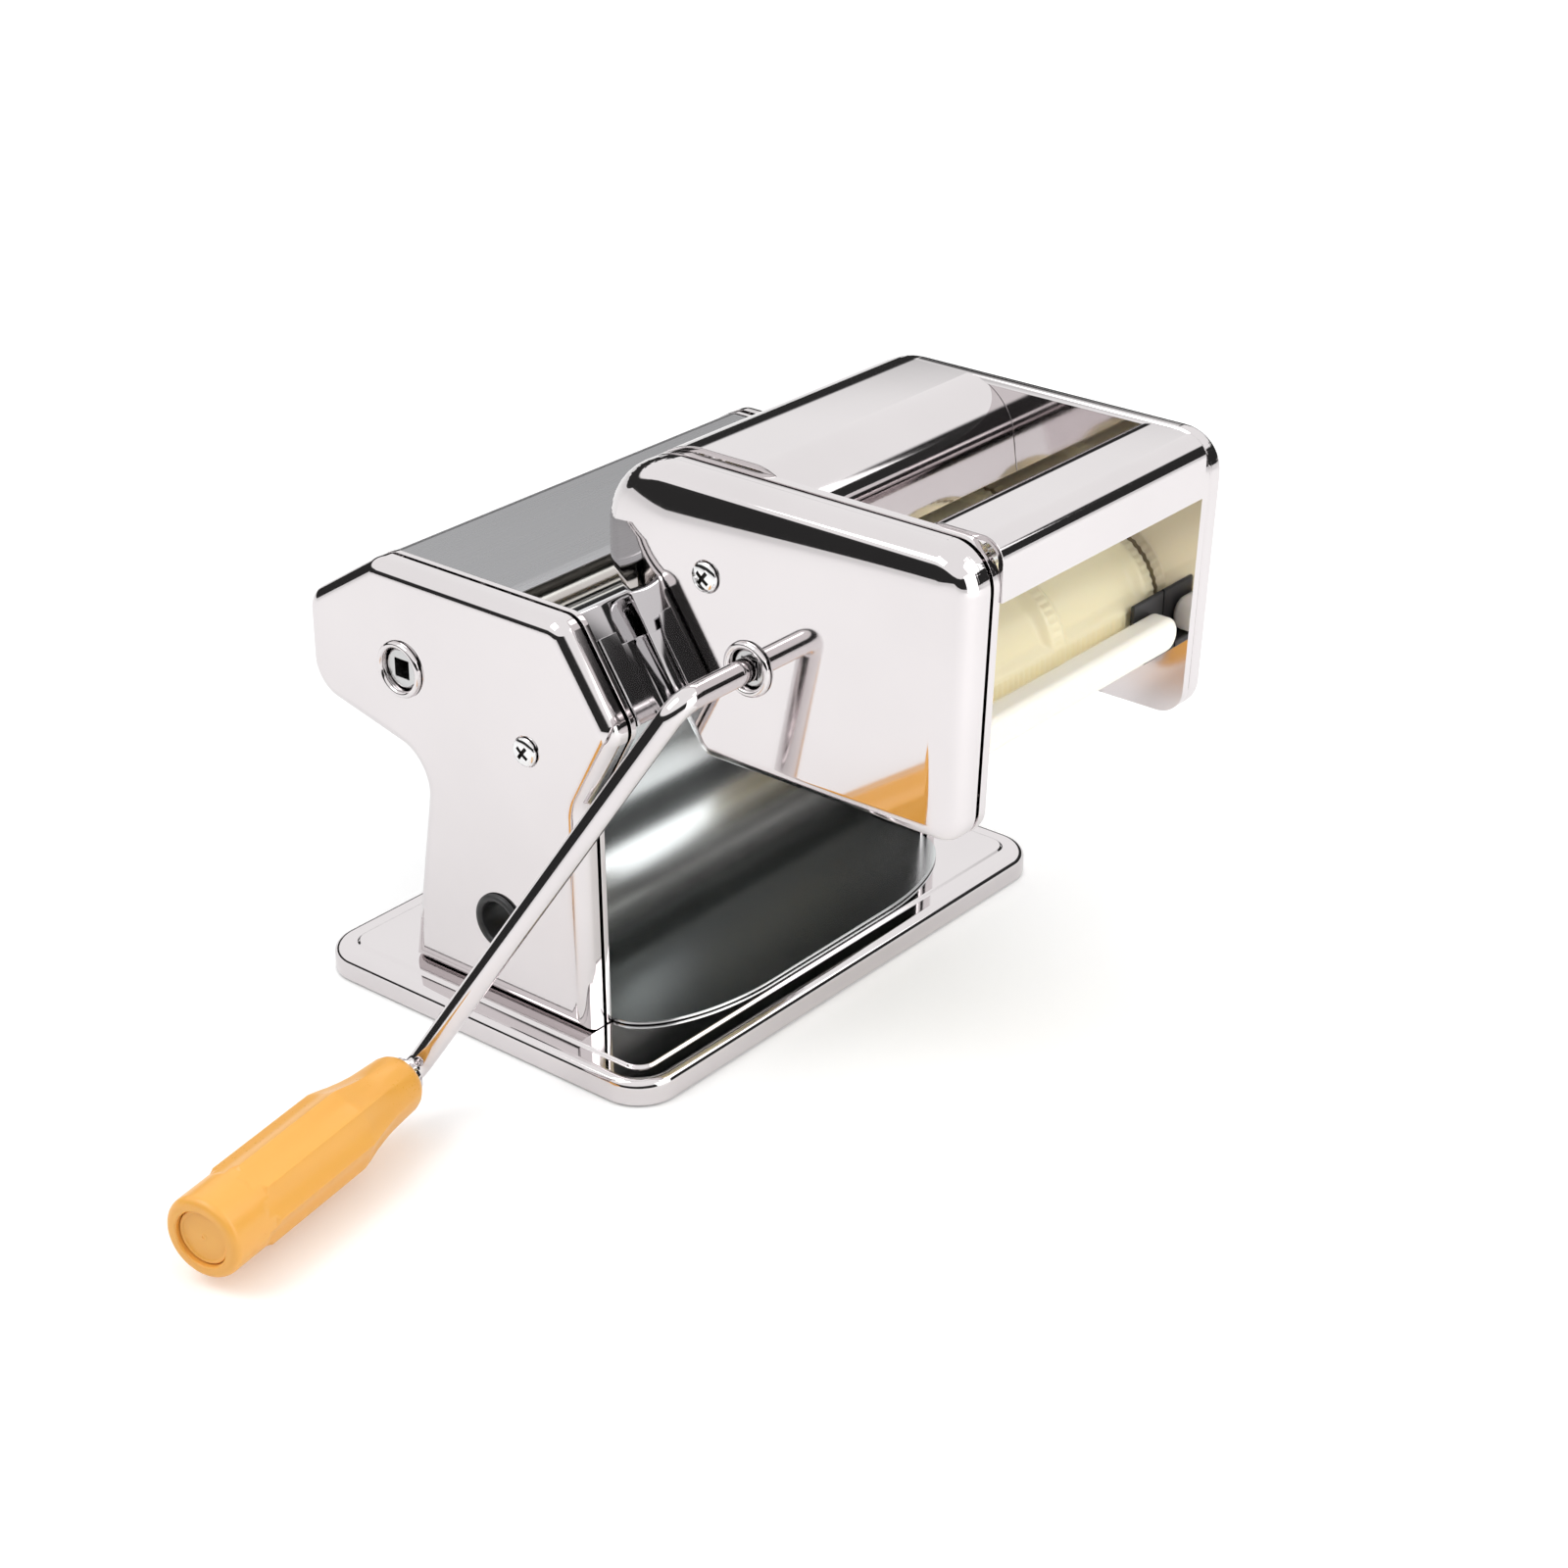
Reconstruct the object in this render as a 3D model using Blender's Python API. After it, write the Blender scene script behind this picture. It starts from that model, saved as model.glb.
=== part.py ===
# Hand cranked pasta machine with a slide-on ravioli head.
# X runs along the rollers, -X is the crank side (near), -Y is the front, +Z is up.
# The origin is the middle of the underside, on the surface that the machine stands on.
import math

import bmesh
import bpy
from mathutils import Matrix, Vector

for scene_object in list(bpy.data.objects):
    bpy.data.objects.remove(scene_object, do_unlink=True)

MM = 0.001
NEAR, FAR = -1, 1

# Clearances
GAP = 0.3 * MM          # between neighbours that touch or rest on each other
RUN = 0.4 * MM          # round a shaft that turns
SLIDE = 0.4 * MM        # round a part that slides
SEAM = 0.8 * MM         # open joint between a pressed cap and its frame plate
OVERRUN = 1.0 * MM      # how far a cutter reaches past its cut, and a joined solid into its neighbour

# Sheet and bar stock
SHEET = 1.0 * MM        # folded guides and hoods
PRESSED = 1.2 * MM      # caps and base
PLATE = 2.2 * MM        # frame plates
ROD_RADIUS = 3.5 * MM
TENON_RADIUS = 2.5 * MM
SCREW_SHANK = 1.9 * MM
SCREW_HEAD = 4.6 * MM
SCREW_HEAD_RISE = 1.8 * MM
END_PROUD = 0.4 * MM    # shaft and rod ends beyond the last piece on them
CHAMFER = 0.8 * MM      # on turned edges

# Smooth rollers
ROLLER_LENGTH = 152 * MM
ROLLER_RADIUS = 14.2 * MM
ROLLER_SHOULDER = 3 * MM
ROLLER_DROP = 19 * MM           # from the casing's top to the roller axes
NIP_Y = -4 * MM
NIP_GAP = 0.5 * MM              # thinnest setting
NIP_TRAVEL = 2.5 * MM           # thinnest to thickest setting
JOURNAL_RADIUS = 4.5 * MM
BUSH_WALL = 2 * MM
GEAR_TEETH = 16
GEAR_WIDTH = 4.5 * MM
CRANK_GEAR_ANGLE = math.radians(29)     # below the line of the rollers
REAR_SCRAPER = 13 * MM
FRONT_SCRAPER = 8 * MM
SCRAPER_CONTACT = math.radians(60)      # below the roller's axis, towards the nip
SCRAPER_LEAN = math.radians(27.4)       # from the vertical

# Base
BASE_MARGIN = 11.8 * MM         # beyond the casing's face
BASE_DEPTH = 141.5 * MM
BASE_HEIGHT = 10 * MM
BASE_LIFT = 0.8 * MM            # skirt above the table
BASE_CORNER = 14 * MM
BASE_ROUND = 3.2 * MM
BASE_RIM = 7.5 * MM
BASE_STEP = 1.0 * MM
BASE_SLOPE = 0.8 * MM           # run of the step up to the bed
FOOT_LENGTH = 120 * MM
FOOT_WIDTH = 12 * MM
FOOT_SPACING = 92 * MM
FOOT_WEB = 34 * MM
LUG_WIDTH = 14 * MM             # lugs of the frame plates, bent over under the base
LUG_SPACING = 40 * MM
LUG_TOE = 5 * MM
LUG_THICK = 1.6 * MM
LUG_INSET = 1.0 * MM

# Side casings, outline in Y and Z
CASING_HEIGHT = 135.2 * MM
CASING_DEPTH = 8.7 * MM
CASING_ROUND = 5.5 * MM
TOP_FRONT_Y = -30.5 * MM
TOP_BACK_Y = 47 * MM
HEAD_BACK_Y = 77.5 * MM
CHAMFER_DROP = 19.5 * MM
HEAD_DROP = 51 * MM             # top to the lowest point of the head's back
INCLINE = math.radians(34)      # front edge from the vertical
INCLINE_DROP = 31 * MM
WAIST_Y, WAIST_DROP = -36.2 * MM, 59.5 * MM
NECK_Y, NECK_DROP = 27.5 * MM, 63 * MM
FOOT_FRONT_Y, FOOT_BACK_Y = -37 * MM, 39.2 * MM
CORNER = 7 * MM
HEAD_CORNER = 13 * MM

# Crank sockets
SOCKET_SIDE = 6.0 * MM
SOCKET_DEPTH = 12.5 * MM
SOCKET_FLOOR = 1.0 * MM         # between the crank's end and the socket's floor
HUB_RADIUS = 6.6 * MM
RING_RADIUS = 9.2 * MM
RING_RISE = 1.4 * MM
RING_EDGE = 0.5 * MM
RING_CHAMFER = 0.7 * MM
RING_WALL = 1.1 * MM            # of the spigot in the cap's hole
HEAD_RING_WALL = 1.0 * MM
RING_SPIGOT = 1.8 * MM
SOCKET_RECESS = 0.5 * MM        # mouth of a socket behind the cap's face
HUB_TAIL = 1.5 * MM             # crank gear's hub inside the plate

# Tie rods and the clamp socket: drops from the casing's top, rises from its foot
ROD_FRONT_Y, ROD_FRONT_DROP = -16.3 * MM, 44.8 * MM
ROD_BACK_Y, ROD_BACK_DROP = 62 * MM, 33.5 * MM
ROD_LOW_Y, ROD_LOW_RISE = 20 * MM, 19.7 * MM
CLAMP_Y, CLAMP_RISE = -2 * MM, 27.6 * MM
CLAMP_RADIUS = 6.8 * MM
CLAMP_WALL = 1.1 * MM
CLAMP_FLANGE = 1.6 * MM

# Sheets between the side casings
HOOD_DROP = 0.4 * MM            # hood's top under the casing's
HOOD_INSET = 1.2 * MM           # inside the casing's back
HOOD_EDGE = 1.0 * MM            # front edge behind the nip
HOOD_FOLD = 2.0 * MM            # run and drop of the folded edge
HOOD_FOLD_DROP = 1.6 * MM
HOOD_FOLD_ROUND = 1.5 * MM
HOOD_UNDER = 2.0 * MM           # inside the casing's underside
HOOD_END, HOOD_END_RISE = 7 * MM, 4 * MM
APRON_BACK_Y, APRON_DROP = 22 * MM, 42 * MM
APRON_BEND = 44 * MM
APRON_MARGIN = 3 * MM           # front edge behind the base's rim
APRON_BOW_START = 2 * MM
APRON_BOW = 0.62                # share of the width that the bowed front edge rounds off
PANEL_DROP = 0.6 * MM           # panel's top under the casing's
PANEL_LIP, PANEL_LIP_DROP = 5 * MM, 1.2 * MM
PANEL_FOLD = 1.6 * MM

# Thickness dial
DIAL_RADIUS = 15 * MM
DIAL_HEIGHT = 15 * MM
DIAL_CROWN = 5 * MM             # solid end beyond the spindle
DIAL_SKIRT, DIAL_SLOPE = 3 * MM, 1 * MM
DIAL_WAIST, DIAL_TAPER = 2 * MM, 0.5 * MM
DIAL_EDGE = 1.5 * MM
DIAL_PLATE = 0.8 * MM
DIAL_PLATE_RADIUS = 12.8 * MM
DIAL_SPINDLE = 4 * MM
DIAL_TURN = math.radians(150)
CAM_START = 9.5 * MM            # cam groove's radius at the thinnest setting
CAM_PIN = 1.6 * MM
CAM_RIM = 2 * MM                # material outside the groove
BLOCK_HALF = 6 * MM
BLOCK_END = 3 * MM              # beyond the cam pin
BLOCK_PROUD = 1.6 * MM          # beyond the frame plate's outer face
CAM_THICK = 2 * MM

# Ravioli head, measured from the top of the casing's inclined edge
HEAD_TOP = 45.5 * MM
HEAD_REAR = 6.7 * MM
HEAD_FRONT = -128 * MM
HEAD_FRONT_LEAN = 3.5 * MM
HEAD_FLOOR = -44 * MM
COVER_DEPTH = 8.7 * MM
COVER_ROUND = 5.5 * MM
COVER_CORNER = 13 * MM
COVER_BACK_CORNER = 25 * MM
HEAD_PLATE = 3 * MM
HEAD_SCREW_Y, HEAD_SCREW_RISE = -33.3 * MM, 15 * MM
HEAD_LOW_ROD_Y, HEAD_LOW_ROD_RISE = -32 * MM, 8 * MM    # above the head's floor
HEAD_FRONT_ROD_IN, HEAD_FRONT_ROD_DROP = 16 * MM, 11.5 * MM
ROLLER_END = 1.0 * MM           # between a ravioli roller and the plate
DRIVE_Y, DRIVE_DROP = -48.8 * MM, 9.4 * MM
CELLS_ACROSS = 2
CELLS_ROUND = 3
CELL_LENGTH = 44.5 * MM
CELL_RIDGE = 3.4 * MM
CELL_DEPTH = 2.6 * MM
CELL_FLANK = 5 * MM
RAVIOLI_RADIUS = 21.4 * MM
RAVIOLI_TEETH = 18
RAVIOLI_SHAFT = 4.6 * MM
RAVIOLI_HUB = 5.8 * MM
HEAD_RING_RADIUS = 8.6 * MM
STRIPPER_OPENING = 9 * MM
STRIPPER_BLADE = 2 * MM
STRIPPER_BEVEL = 2.5 * MM
STRIPPER_RISE = 3 * MM          # above the head's floor
STRIPPER_BRIDGE, STRIPPER_BRIDGE_HEIGHT = 2.2 * MM, 6 * MM
RAVIOLI_GEAR_SEAT = 0.8 * MM    # inside the cap's rim
RAVIOLI_GEAR_WIDTH = 4.6 * MM
BAR_RADIUS = 5.4 * MM
BAR_Y, BAR_DROP = -121.5 * MM, 14 * MM
BAR_SHORT = 4 * MM              # the bar's free end stops short of the far plate
HEAD_ROD = 3 * MM
CLIP_LENGTH, CLIP_WALL = 16 * MM, 1.4 * MM
CLIP_RISE, CLIP_SHELF = 5 * MM, 2.5 * MM

# Hoods either side of the filling well
WELL_REAR, WELL_FRONT = 12 * MM, 4.5 * MM       # lips in front of the drive and driven axes
WELL_LIP = 8 * MM                               # above the ravioli rollers
REAR_HOOD_PROUD, REAR_HOOD_INSET = 2 * MM, 1.5 * MM
REAR_HOOD_FOOT, REAR_HOOD_LEAN = 11 * MM, 1.5 * MM
REAR_HOOD_ROUND, REAR_WELL_ROUND, REAR_WELL_LEAN = 26 * MM, 18 * MM, 4 * MM
FRONT_HOOD_PROUD, FRONT_HOOD_INSET = 0.8 * MM, 0.5 * MM
FRONT_HOOD_FOOT = 28 * MM
FRONT_HOOD_ROUND, FRONT_WELL_ROUND, FRONT_WELL_LEAN = 7 * MM, 9 * MM, 4 * MM

# Guide rails and the tabs that hang in them, across the casing's incline
PANEL_SET_BACK = 2.4 * MM
PANEL_LENGTH = 36 * MM
RAIL_WALL = 1.2 * MM
RAIL_LIP = 6 * MM
RAIL_LIP_THICK = 1.0 * MM
RAIL_START, RAIL_END = 9 * MM, 36.5 * MM
RAIL_STOP = 1.4 * MM
RAIL_RISE = 0.8 * MM
TAB_START = 13 * MM
TAB_CORNER = 5 * MM

# Crank and grip
CRANK_OUT = 29.5 * MM           # from the cover's face to the first bend
CRANK_RADIUS = 134 * MM
CRANK_SPREAD = 52 * MM          # how far the arm leans out
CRANK_ANGLE = math.radians(27.2)        # from straight down, towards the back
CRANK_ROD = 3.75 * MM
CRANK_BEND = 9 * MM
CRANK_KNEE = 5.85 * MM          # bend radius at the grip
COLLAR_WALL, COLLAR_LENGTH = 2.3 * MM, 1.9 * MM
GRIP_TILT = math.radians(10)
GRIP_START = 7 * MM
GRIP_LENGTH = 93 * MM
GRIP_RADIUS = 13.4 * MM
GRIP_NECK = 9.4 * MM
GRIP_END_WALL = 9 * MM          # between the rod's bore and the grip's end
GRIP_ROD_SHORT = 2 * MM
GRIP_LIP, GRIP_SHOULDER = 1.2 * MM, 4 * MM
GRIP_NECK_END, GRIP_NECK_SWELL = 15 * MM, 0.7 * MM
GRIP_FLARE, GRIP_FLARE_SHORT = 24 * MM, 1.8 * MM
GRIP_BELLY = 32 * MM
GRIP_BAND, GRIP_BAND_SLOPE, GRIP_BAND_STEP = 20 * MM, 3 * MM, 0.8 * MM
GRIP_END_ROUND, GRIP_END_DROP = 4 * MM, 2.4 * MM
GRIP_FLUTES = 8
GRIP_FLUTE_DEPTH = 0.9 * MM
PLUG_SEAT_RADIUS = 8.6 * MM
PLUG_SEAT_DEPTH = 2.4 * MM
PLUG_THICK = 1.1 * MM

# Places that follow from the sizes above
INNER_X = ROLLER_LENGTH / 2 + ROLLER_SHOULDER
PLATE_X = INNER_X + PLATE
CASING_RIM_X = PLATE_X + SEAM
CASING_FACE_X = CASING_RIM_X + CASING_DEPTH
FOOT_Z = BASE_HEIGHT + GAP
CASING_TOP = FOOT_Z + CASING_HEIGHT
ROLLER_Z = CASING_TOP - ROLLER_DROP
ROD_FRONT = (ROD_FRONT_Y, CASING_TOP - ROD_FRONT_DROP)
ROD_BACK = (ROD_BACK_Y, CASING_TOP - ROD_BACK_DROP)
ROD_LOW = (ROD_LOW_Y, FOOT_Z + ROD_LOW_RISE)
CLAMP = (CLAMP_Y, FOOT_Z + CLAMP_RISE)
AXIS_SPACING = 2 * ROLLER_RADIUS + NIP_GAP
REAR_Y = NIP_Y + AXIS_SPACING / 2
FRONT_Y = NIP_Y - AXIS_SPACING / 2
CRANK_GEAR_Y = REAR_Y + AXIS_SPACING * math.cos(CRANK_GEAR_ANGLE)
CRANK_GEAR_Z = ROLLER_Z - AXIS_SPACING * math.sin(CRANK_GEAR_ANGLE)
BLOCK_X = PLATE_X + BLOCK_PROUD
GEAR_X0 = BLOCK_X + GAP
GEAR_X1 = GEAR_X0 + GEAR_WIDTH
CELL_PITCH = CELL_LENGTH + CELL_RIDGE
RAVIOLI_HALF = (CELLS_ACROSS * CELL_PITCH + CELL_RIDGE) / 2
HEAD_INNER_X = RAVIOLI_HALF + ROLLER_END
HEAD_PLATE_X = HEAD_INNER_X + HEAD_PLATE
COVER_RIM_X = HEAD_PLATE_X + SEAM
COVER_FACE_X = COVER_RIM_X + COVER_DEPTH
GRIP_BORE_DEPTH = GRIP_LENGTH - GRIP_END_WALL
DRIVE = (TOP_FRONT_Y + DRIVE_Y, CASING_TOP - DRIVE_DROP)
RAVIOLI_SPACING = 2 * RAVIOLI_RADIUS + GAP
DRIVEN = (DRIVE[0] - RAVIOLI_SPACING, DRIVE[1])
BAR = (TOP_FRONT_Y + BAR_Y, CASING_TOP - BAR_DROP)
SLOPE = math.tan(INCLINE)
DOWN = Vector((0, -math.sin(INCLINE), -math.cos(INCLINE)))
OUT = Vector((0, -math.cos(INCLINE), math.sin(INCLINE)))
INCLINE_TOP = Vector((0, TOP_FRONT_Y, CASING_TOP))


def head_place(y, z):
    """A point of the ravioli head, given from the top of the incline."""
    return (TOP_FRONT_Y + y, CASING_TOP + z)


def on_incline(x, down, out):
    """A point at a distance down the incline and out from it."""
    return INCLINE_TOP + Vector((x, 0, 0)) + DOWN * down + OUT * out


# Materials
def finish(name, colour, roughness, metallic):
    material = bpy.data.materials.get(name) or bpy.data.materials.new(name)
    material.use_nodes = True
    shader = material.node_tree.nodes["Principled BSDF"]
    shader.inputs["Base Color"].default_value = (*colour, 1)
    shader.inputs["Roughness"].default_value = roughness
    shader.inputs["Metallic"].default_value = metallic
    return material


def chrome():
    return finish("chrome", (0.80, 0.80, 0.81), 0.08, 1.0)


def satin_steel():
    return finish("satin_steel", (0.58, 0.58, 0.58), 0.35, 1.0)


def turned_steel():
    return finish("turned_steel", (0.70, 0.70, 0.68), 0.18, 1.0)


def gear_steel():
    return finish("gear_steel", (0.42, 0.42, 0.43), 0.40, 1.0)


def black_plastic():
    return finish("black_plastic", (0.02, 0.02, 0.02), 0.45, 0.0)


def cream_plastic():
    return finish("cream_plastic", (0.90, 0.86, 0.72), 0.40, 0.0)


def orange_plastic():
    return finish("orange_plastic", (0.90, 0.47, 0.12), 0.38, 0.0)


def rubber():
    return finish("rubber", (0.05, 0.05, 0.05), 0.80, 0.0)


# Outlines in the Y Z plane
def arc_corner(before, corner, after, radius, steps):
    """The points of a rounded corner, from the side before it to the side after."""
    corner = Vector(corner)
    to_before = (Vector(before) - corner).normalized()
    to_after = (Vector(after) - corner).normalized()
    half = to_before.angle(to_after) / 2
    centre = corner + (to_before + to_after).normalized() * radius / math.sin(half)
    start = corner + to_before * radius / math.tan(half) - centre
    end = corner + to_after * radius / math.tan(half) - centre
    sweep = start.angle_signed(end)
    return [centre + Matrix.Rotation(-sweep * step / steps, 2) @ start for step in range(steps + 1)]


def rounded(corners, steps=5, closed=True):
    """An outline from (y, z, radius) corners; an open one keeps its two ends."""
    points = []
    count = len(corners)
    for index, (y, z, radius) in enumerate(corners):
        inside = closed or 0 < index < count - 1
        if not inside or radius <= 0:
            points.append(Vector((y, z)))
            continue
        before, after = corners[index - 1][:2], corners[(index + 1) % count][:2]
        points += arc_corner(before, (y, z), after, radius, steps)
    return points


def on_circle(centre, radius, angle):
    return Vector((centre[0] + radius * math.cos(angle), centre[1] + radius * math.sin(angle)))


def circle(centre, radius, sides):
    return [on_circle(centre, radius, 2 * math.pi * step / sides) for step in range(sides)]


# Solids
SMOOTH_BELOW = math.radians(32)


def extrude_outline(bm, points, x0, x1):
    face = bm.faces.new([bm.verts.new((x0, y, z)) for y, z in points])
    made = bmesh.ops.extrude_face_region(bm, geom=[face])
    verts = [item for item in made["geom"] if isinstance(item, bmesh.types.BMVert)]
    bmesh.ops.translate(bm, verts=verts, vec=(x1 - x0, 0, 0))


def box(bm, low, high):
    low, high = Vector(low), Vector(high)
    size = high - low
    place = Matrix.Translation((low + high) / 2) @ Matrix.Diagonal((*size, 1))
    return bmesh.ops.create_cube(bm, size=1, matrix=place)["verts"]


def side_box(bm, side, x0, x1, y0, y1, z0, z1):
    """A box on one side of the machine; x0 and x1 are distances from its middle."""
    low_x, high_x = sorted((side * x0, side * x1))
    box(bm, (low_x, y0, z0), (high_x, y1, z1))


def cylinder_x(bm, centre, radius, x0, x1, sides=16):
    extrude_outline(bm, circle(centre, radius, sides), x0, x1)


def turned(bm, profile, place, sides=20, closed=False):
    """Spins (along, radius) points about the X axis of place; a closed profile makes a ring."""
    made = [bm.verts.new((along, radius, 0)) for along, radius in profile]
    pairs = list(zip(made, made[1:])) + ([(made[-1], made[0])] if closed else [])
    edges = [bm.edges.new(pair) for pair in pairs]
    spun = bmesh.ops.spin(bm, geom=made + edges, axis=(1, 0, 0), cent=(0, 0, 0), angle=2 * math.pi,
                          steps=sides, use_merge=True, use_duplicate=False)
    verts = set(made)
    for vert in made:
        for edge in vert.link_edges:
            verts.update(edge.verts)
    verts.update(item for item in spun["geom_last"] if isinstance(item, bmesh.types.BMVert))
    island, grow = set(verts), list(verts)
    while grow:
        for edge in grow.pop().link_edges:
            for vert in edge.verts:
                if vert not in island:
                    island.add(vert)
                    grow.append(vert)
    bmesh.ops.transform(bm, matrix=place, verts=list(island))
    bmesh.ops.remove_doubles(bm, verts=list(island), dist=0.00001)


def at(y, z, x=0.0):
    return Matrix.Translation((x, y, z))


def node(name, bm, material, oriented=False):
    if not oriented:
        bmesh.ops.recalc_face_normals(bm, faces=bm.faces)
    mesh = bpy.data.meshes.new(name)
    bm.to_mesh(mesh)
    bm.free()
    mesh.materials.append(material)
    mesh.shade_smooth()
    mesh.set_sharp_from_angle(angle=SMOOTH_BELOW)
    made = bpy.data.objects.new(name, mesh)
    bpy.context.collection.objects.link(made)
    return made


def boolean(target, bm, operation="DIFFERENCE"):
    """Cuts or joins a helper solid that is left out of the part."""
    name = "helper_" + target.name + "_" + operation.lower() + str(len(target.modifiers))
    helper = node(name, bm, rubber())
    helper.hide_render = True
    helper.display_type = "WIRE"
    modifier = target.modifiers.new(operation.lower(), "BOOLEAN")
    modifier.operation = operation
    modifier.object = helper
    modifier.solver = "EXACT"


def solidify(target, thickness):
    modifier = target.modifiers.new("wall", "SOLIDIFY")
    modifier.thickness = thickness
    modifier.offset = -1
    modifier.use_even_offset = True


def folded_sheet(name, path, half_x, inside, material):
    """A strip bent along its path in Y and Z; its wall grows towards the point inside."""
    bm = bmesh.new()
    verts = [bm.verts.new((-half_x, y, z)) for y, z in path]
    edges = [bm.edges.new(pair) for pair in zip(verts, verts[1:])]
    made = bmesh.ops.extrude_edge_only(bm, edges=edges)
    ends = [item for item in made["geom"] if isinstance(item, bmesh.types.BMVert)]
    bmesh.ops.translate(bm, verts=ends, vec=(2 * half_x, 0, 0))
    bmesh.ops.recalc_face_normals(bm, faces=bm.faces)
    strip = next(face for face in verts[0].link_faces)
    middle = strip.calc_center_median()
    if strip.normal.dot(Vector((middle.x, *inside)) - middle) > 0:
        bmesh.ops.reverse_faces(bm, faces=bm.faces)
    sheet = node(name, bm, material, oriented=True)
    solidify(sheet, SHEET)
    return sheet


def pressed_tray(points, depth, fillet):
    """A tray pressed from sheet: a flat face with a rounded edge, and a skirt of the given depth."""
    bm = bmesh.new()
    flat = bm.faces.new([bm.verts.new(point) for point in points])
    flat.normal_update()
    if flat.normal.dot(depth) > 0:
        flat.normal_flip()
    edge_loop = list(flat.edges)
    made = bmesh.ops.extrude_edge_only(bm, edges=edge_loop)
    rim = [item for item in made["geom"] if isinstance(item, bmesh.types.BMVert)]
    bmesh.ops.translate(bm, verts=rim, vec=depth)
    bmesh.ops.bevel(bm, geom=edge_loop, offset=fillet, offset_type="OFFSET", segments=3, profile=0.5,
                    affect="EDGES", clamp_overlap=False, material=-1)
    flat = max(bm.faces, key=lambda face: face.calc_area())
    bmesh.ops.recalc_face_normals(bm, faces=bm.faces)
    if flat.normal.dot(depth) > 0:
        bmesh.ops.reverse_faces(bm, faces=bm.faces)
    return bm, flat


def pressed_cap(name, outline, rim, face, fillet):
    """A side cap, open towards the frame plate that it is screwed to."""
    bm, flat = pressed_tray([(face, y, z) for y, z in outline], Vector((rim - face, 0, 0)), fillet)
    cap = node(name, bm, chrome(), oriented=True)
    solidify(cap, PRESSED)
    return cap


def gear_node(name, centre, spacing, teeth, x0, x1, phase, bore, material):
    """A spur gear for equal partners set spacing apart; phase is the angle of one tooth."""
    module = spacing / teeth
    root, tip = spacing / 2 - 1.15 * module, spacing / 2 + 0.80 * module
    step = 2 * math.pi / teeth
    points = []
    for tooth in range(teeth):
        middle = phase + tooth * step
        for radius, share in ((root, -0.30), (tip, -0.11), (tip, 0.11), (root, 0.30)):
            angle = middle + share * step
            points.append(on_circle(centre, radius, angle))
    bm = bmesh.new()
    extrude_outline(bm, points, x0, x1)
    made = node(name, bm, material)
    if bore:
        hole = bmesh.new()
        cylinder_x(hole, centre, bore, x0 - OVERRUN, x1 + OVERRUN)
        boolean(made, hole)
    return made


def meshing_phase(phase, towards, teeth):
    """The phase of a partner gear that lies in the direction towards."""
    return 2 * towards + math.pi - phase + math.pi / teeth


# Base: a pressed tray on a rubber foot
BASE_HALF_X = CASING_FACE_X + BASE_MARGIN
BASE_HALF_Y = BASE_DEPTH / 2
BASE_UNDER = BASE_HEIGHT - PRESSED - GAP


def lug_rows():
    return [-LUG_SPACING / 2, LUG_SPACING / 2]


def build_base():
    quarters = ((1, 1), (-1, 1), (-1, -1), (1, -1))
    corners = [(x * BASE_HALF_X, y * BASE_HALF_Y, BASE_CORNER) for x, y in quarters]
    rim_z = BASE_HEIGHT - BASE_STEP
    outline = [(x, y, rim_z) for x, y in rounded(corners, steps=5)]
    bm, bed = pressed_tray(outline, Vector((0, 0, BASE_LIFT - rim_z)), BASE_ROUND)
    bmesh.ops.inset_region(bm, faces=[bed], thickness=BASE_RIM - BASE_ROUND, use_even_offset=True)
    bmesh.ops.inset_region(bm, faces=[bed], thickness=BASE_SLOPE, depth=BASE_STEP, use_even_offset=True)
    base = node("base_plate", bm, chrome(), oriented=True)
    solidify(base, PRESSED)
    slots = bmesh.new()
    for side in (NEAR, FAR):
        for y in lug_rows():
            half = LUG_WIDTH / 2 + GAP
            side_box(slots, side, INNER_X - GAP, PLATE_X + GAP, y - half, y + half, BASE_UNDER,
                     BASE_HEIGHT + OVERRUN)
    boolean(base, slots)

    bm = bmesh.new()
    box(bm, (-FOOT_WEB / 2, -FOOT_SPACING / 2, 0), (FOOT_WEB / 2, FOOT_SPACING / 2, BASE_UNDER))
    foot = node("rubber_foot", bm, rubber())
    half_x, half_y = FOOT_LENGTH / 2, FOOT_WIDTH / 2
    for y in (-FOOT_SPACING / 2, FOOT_SPACING / 2):
        runner = bmesh.new()
        box(runner, (-half_x, y - half_y, 0), (half_x, y + half_y, BASE_UNDER))
        boolean(foot, runner, "UNION")


# Side casings and the frame plates behind them
def casing_outline():
    incline_low = (TOP_FRONT_Y - INCLINE_DROP * SLOPE, CASING_TOP - INCLINE_DROP)
    corners = [
        (FOOT_FRONT_Y, FOOT_Z, 0),
        (WAIST_Y, CASING_TOP - WAIST_DROP, HEAD_CORNER),
        (*incline_low, CORNER),
        (TOP_FRONT_Y, CASING_TOP, CORNER),
        (TOP_BACK_Y, CASING_TOP, CORNER + MM),
        (HEAD_BACK_Y, CASING_TOP - CHAMFER_DROP, CORNER + MM),
        (HEAD_BACK_Y, CASING_TOP - HEAD_DROP, HEAD_CORNER),
        (NECK_Y, CASING_TOP - NECK_DROP, HEAD_CORNER),
        (FOOT_BACK_Y, FOOT_Z, 0),
    ]
    return rounded(corners, steps=4)


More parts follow.
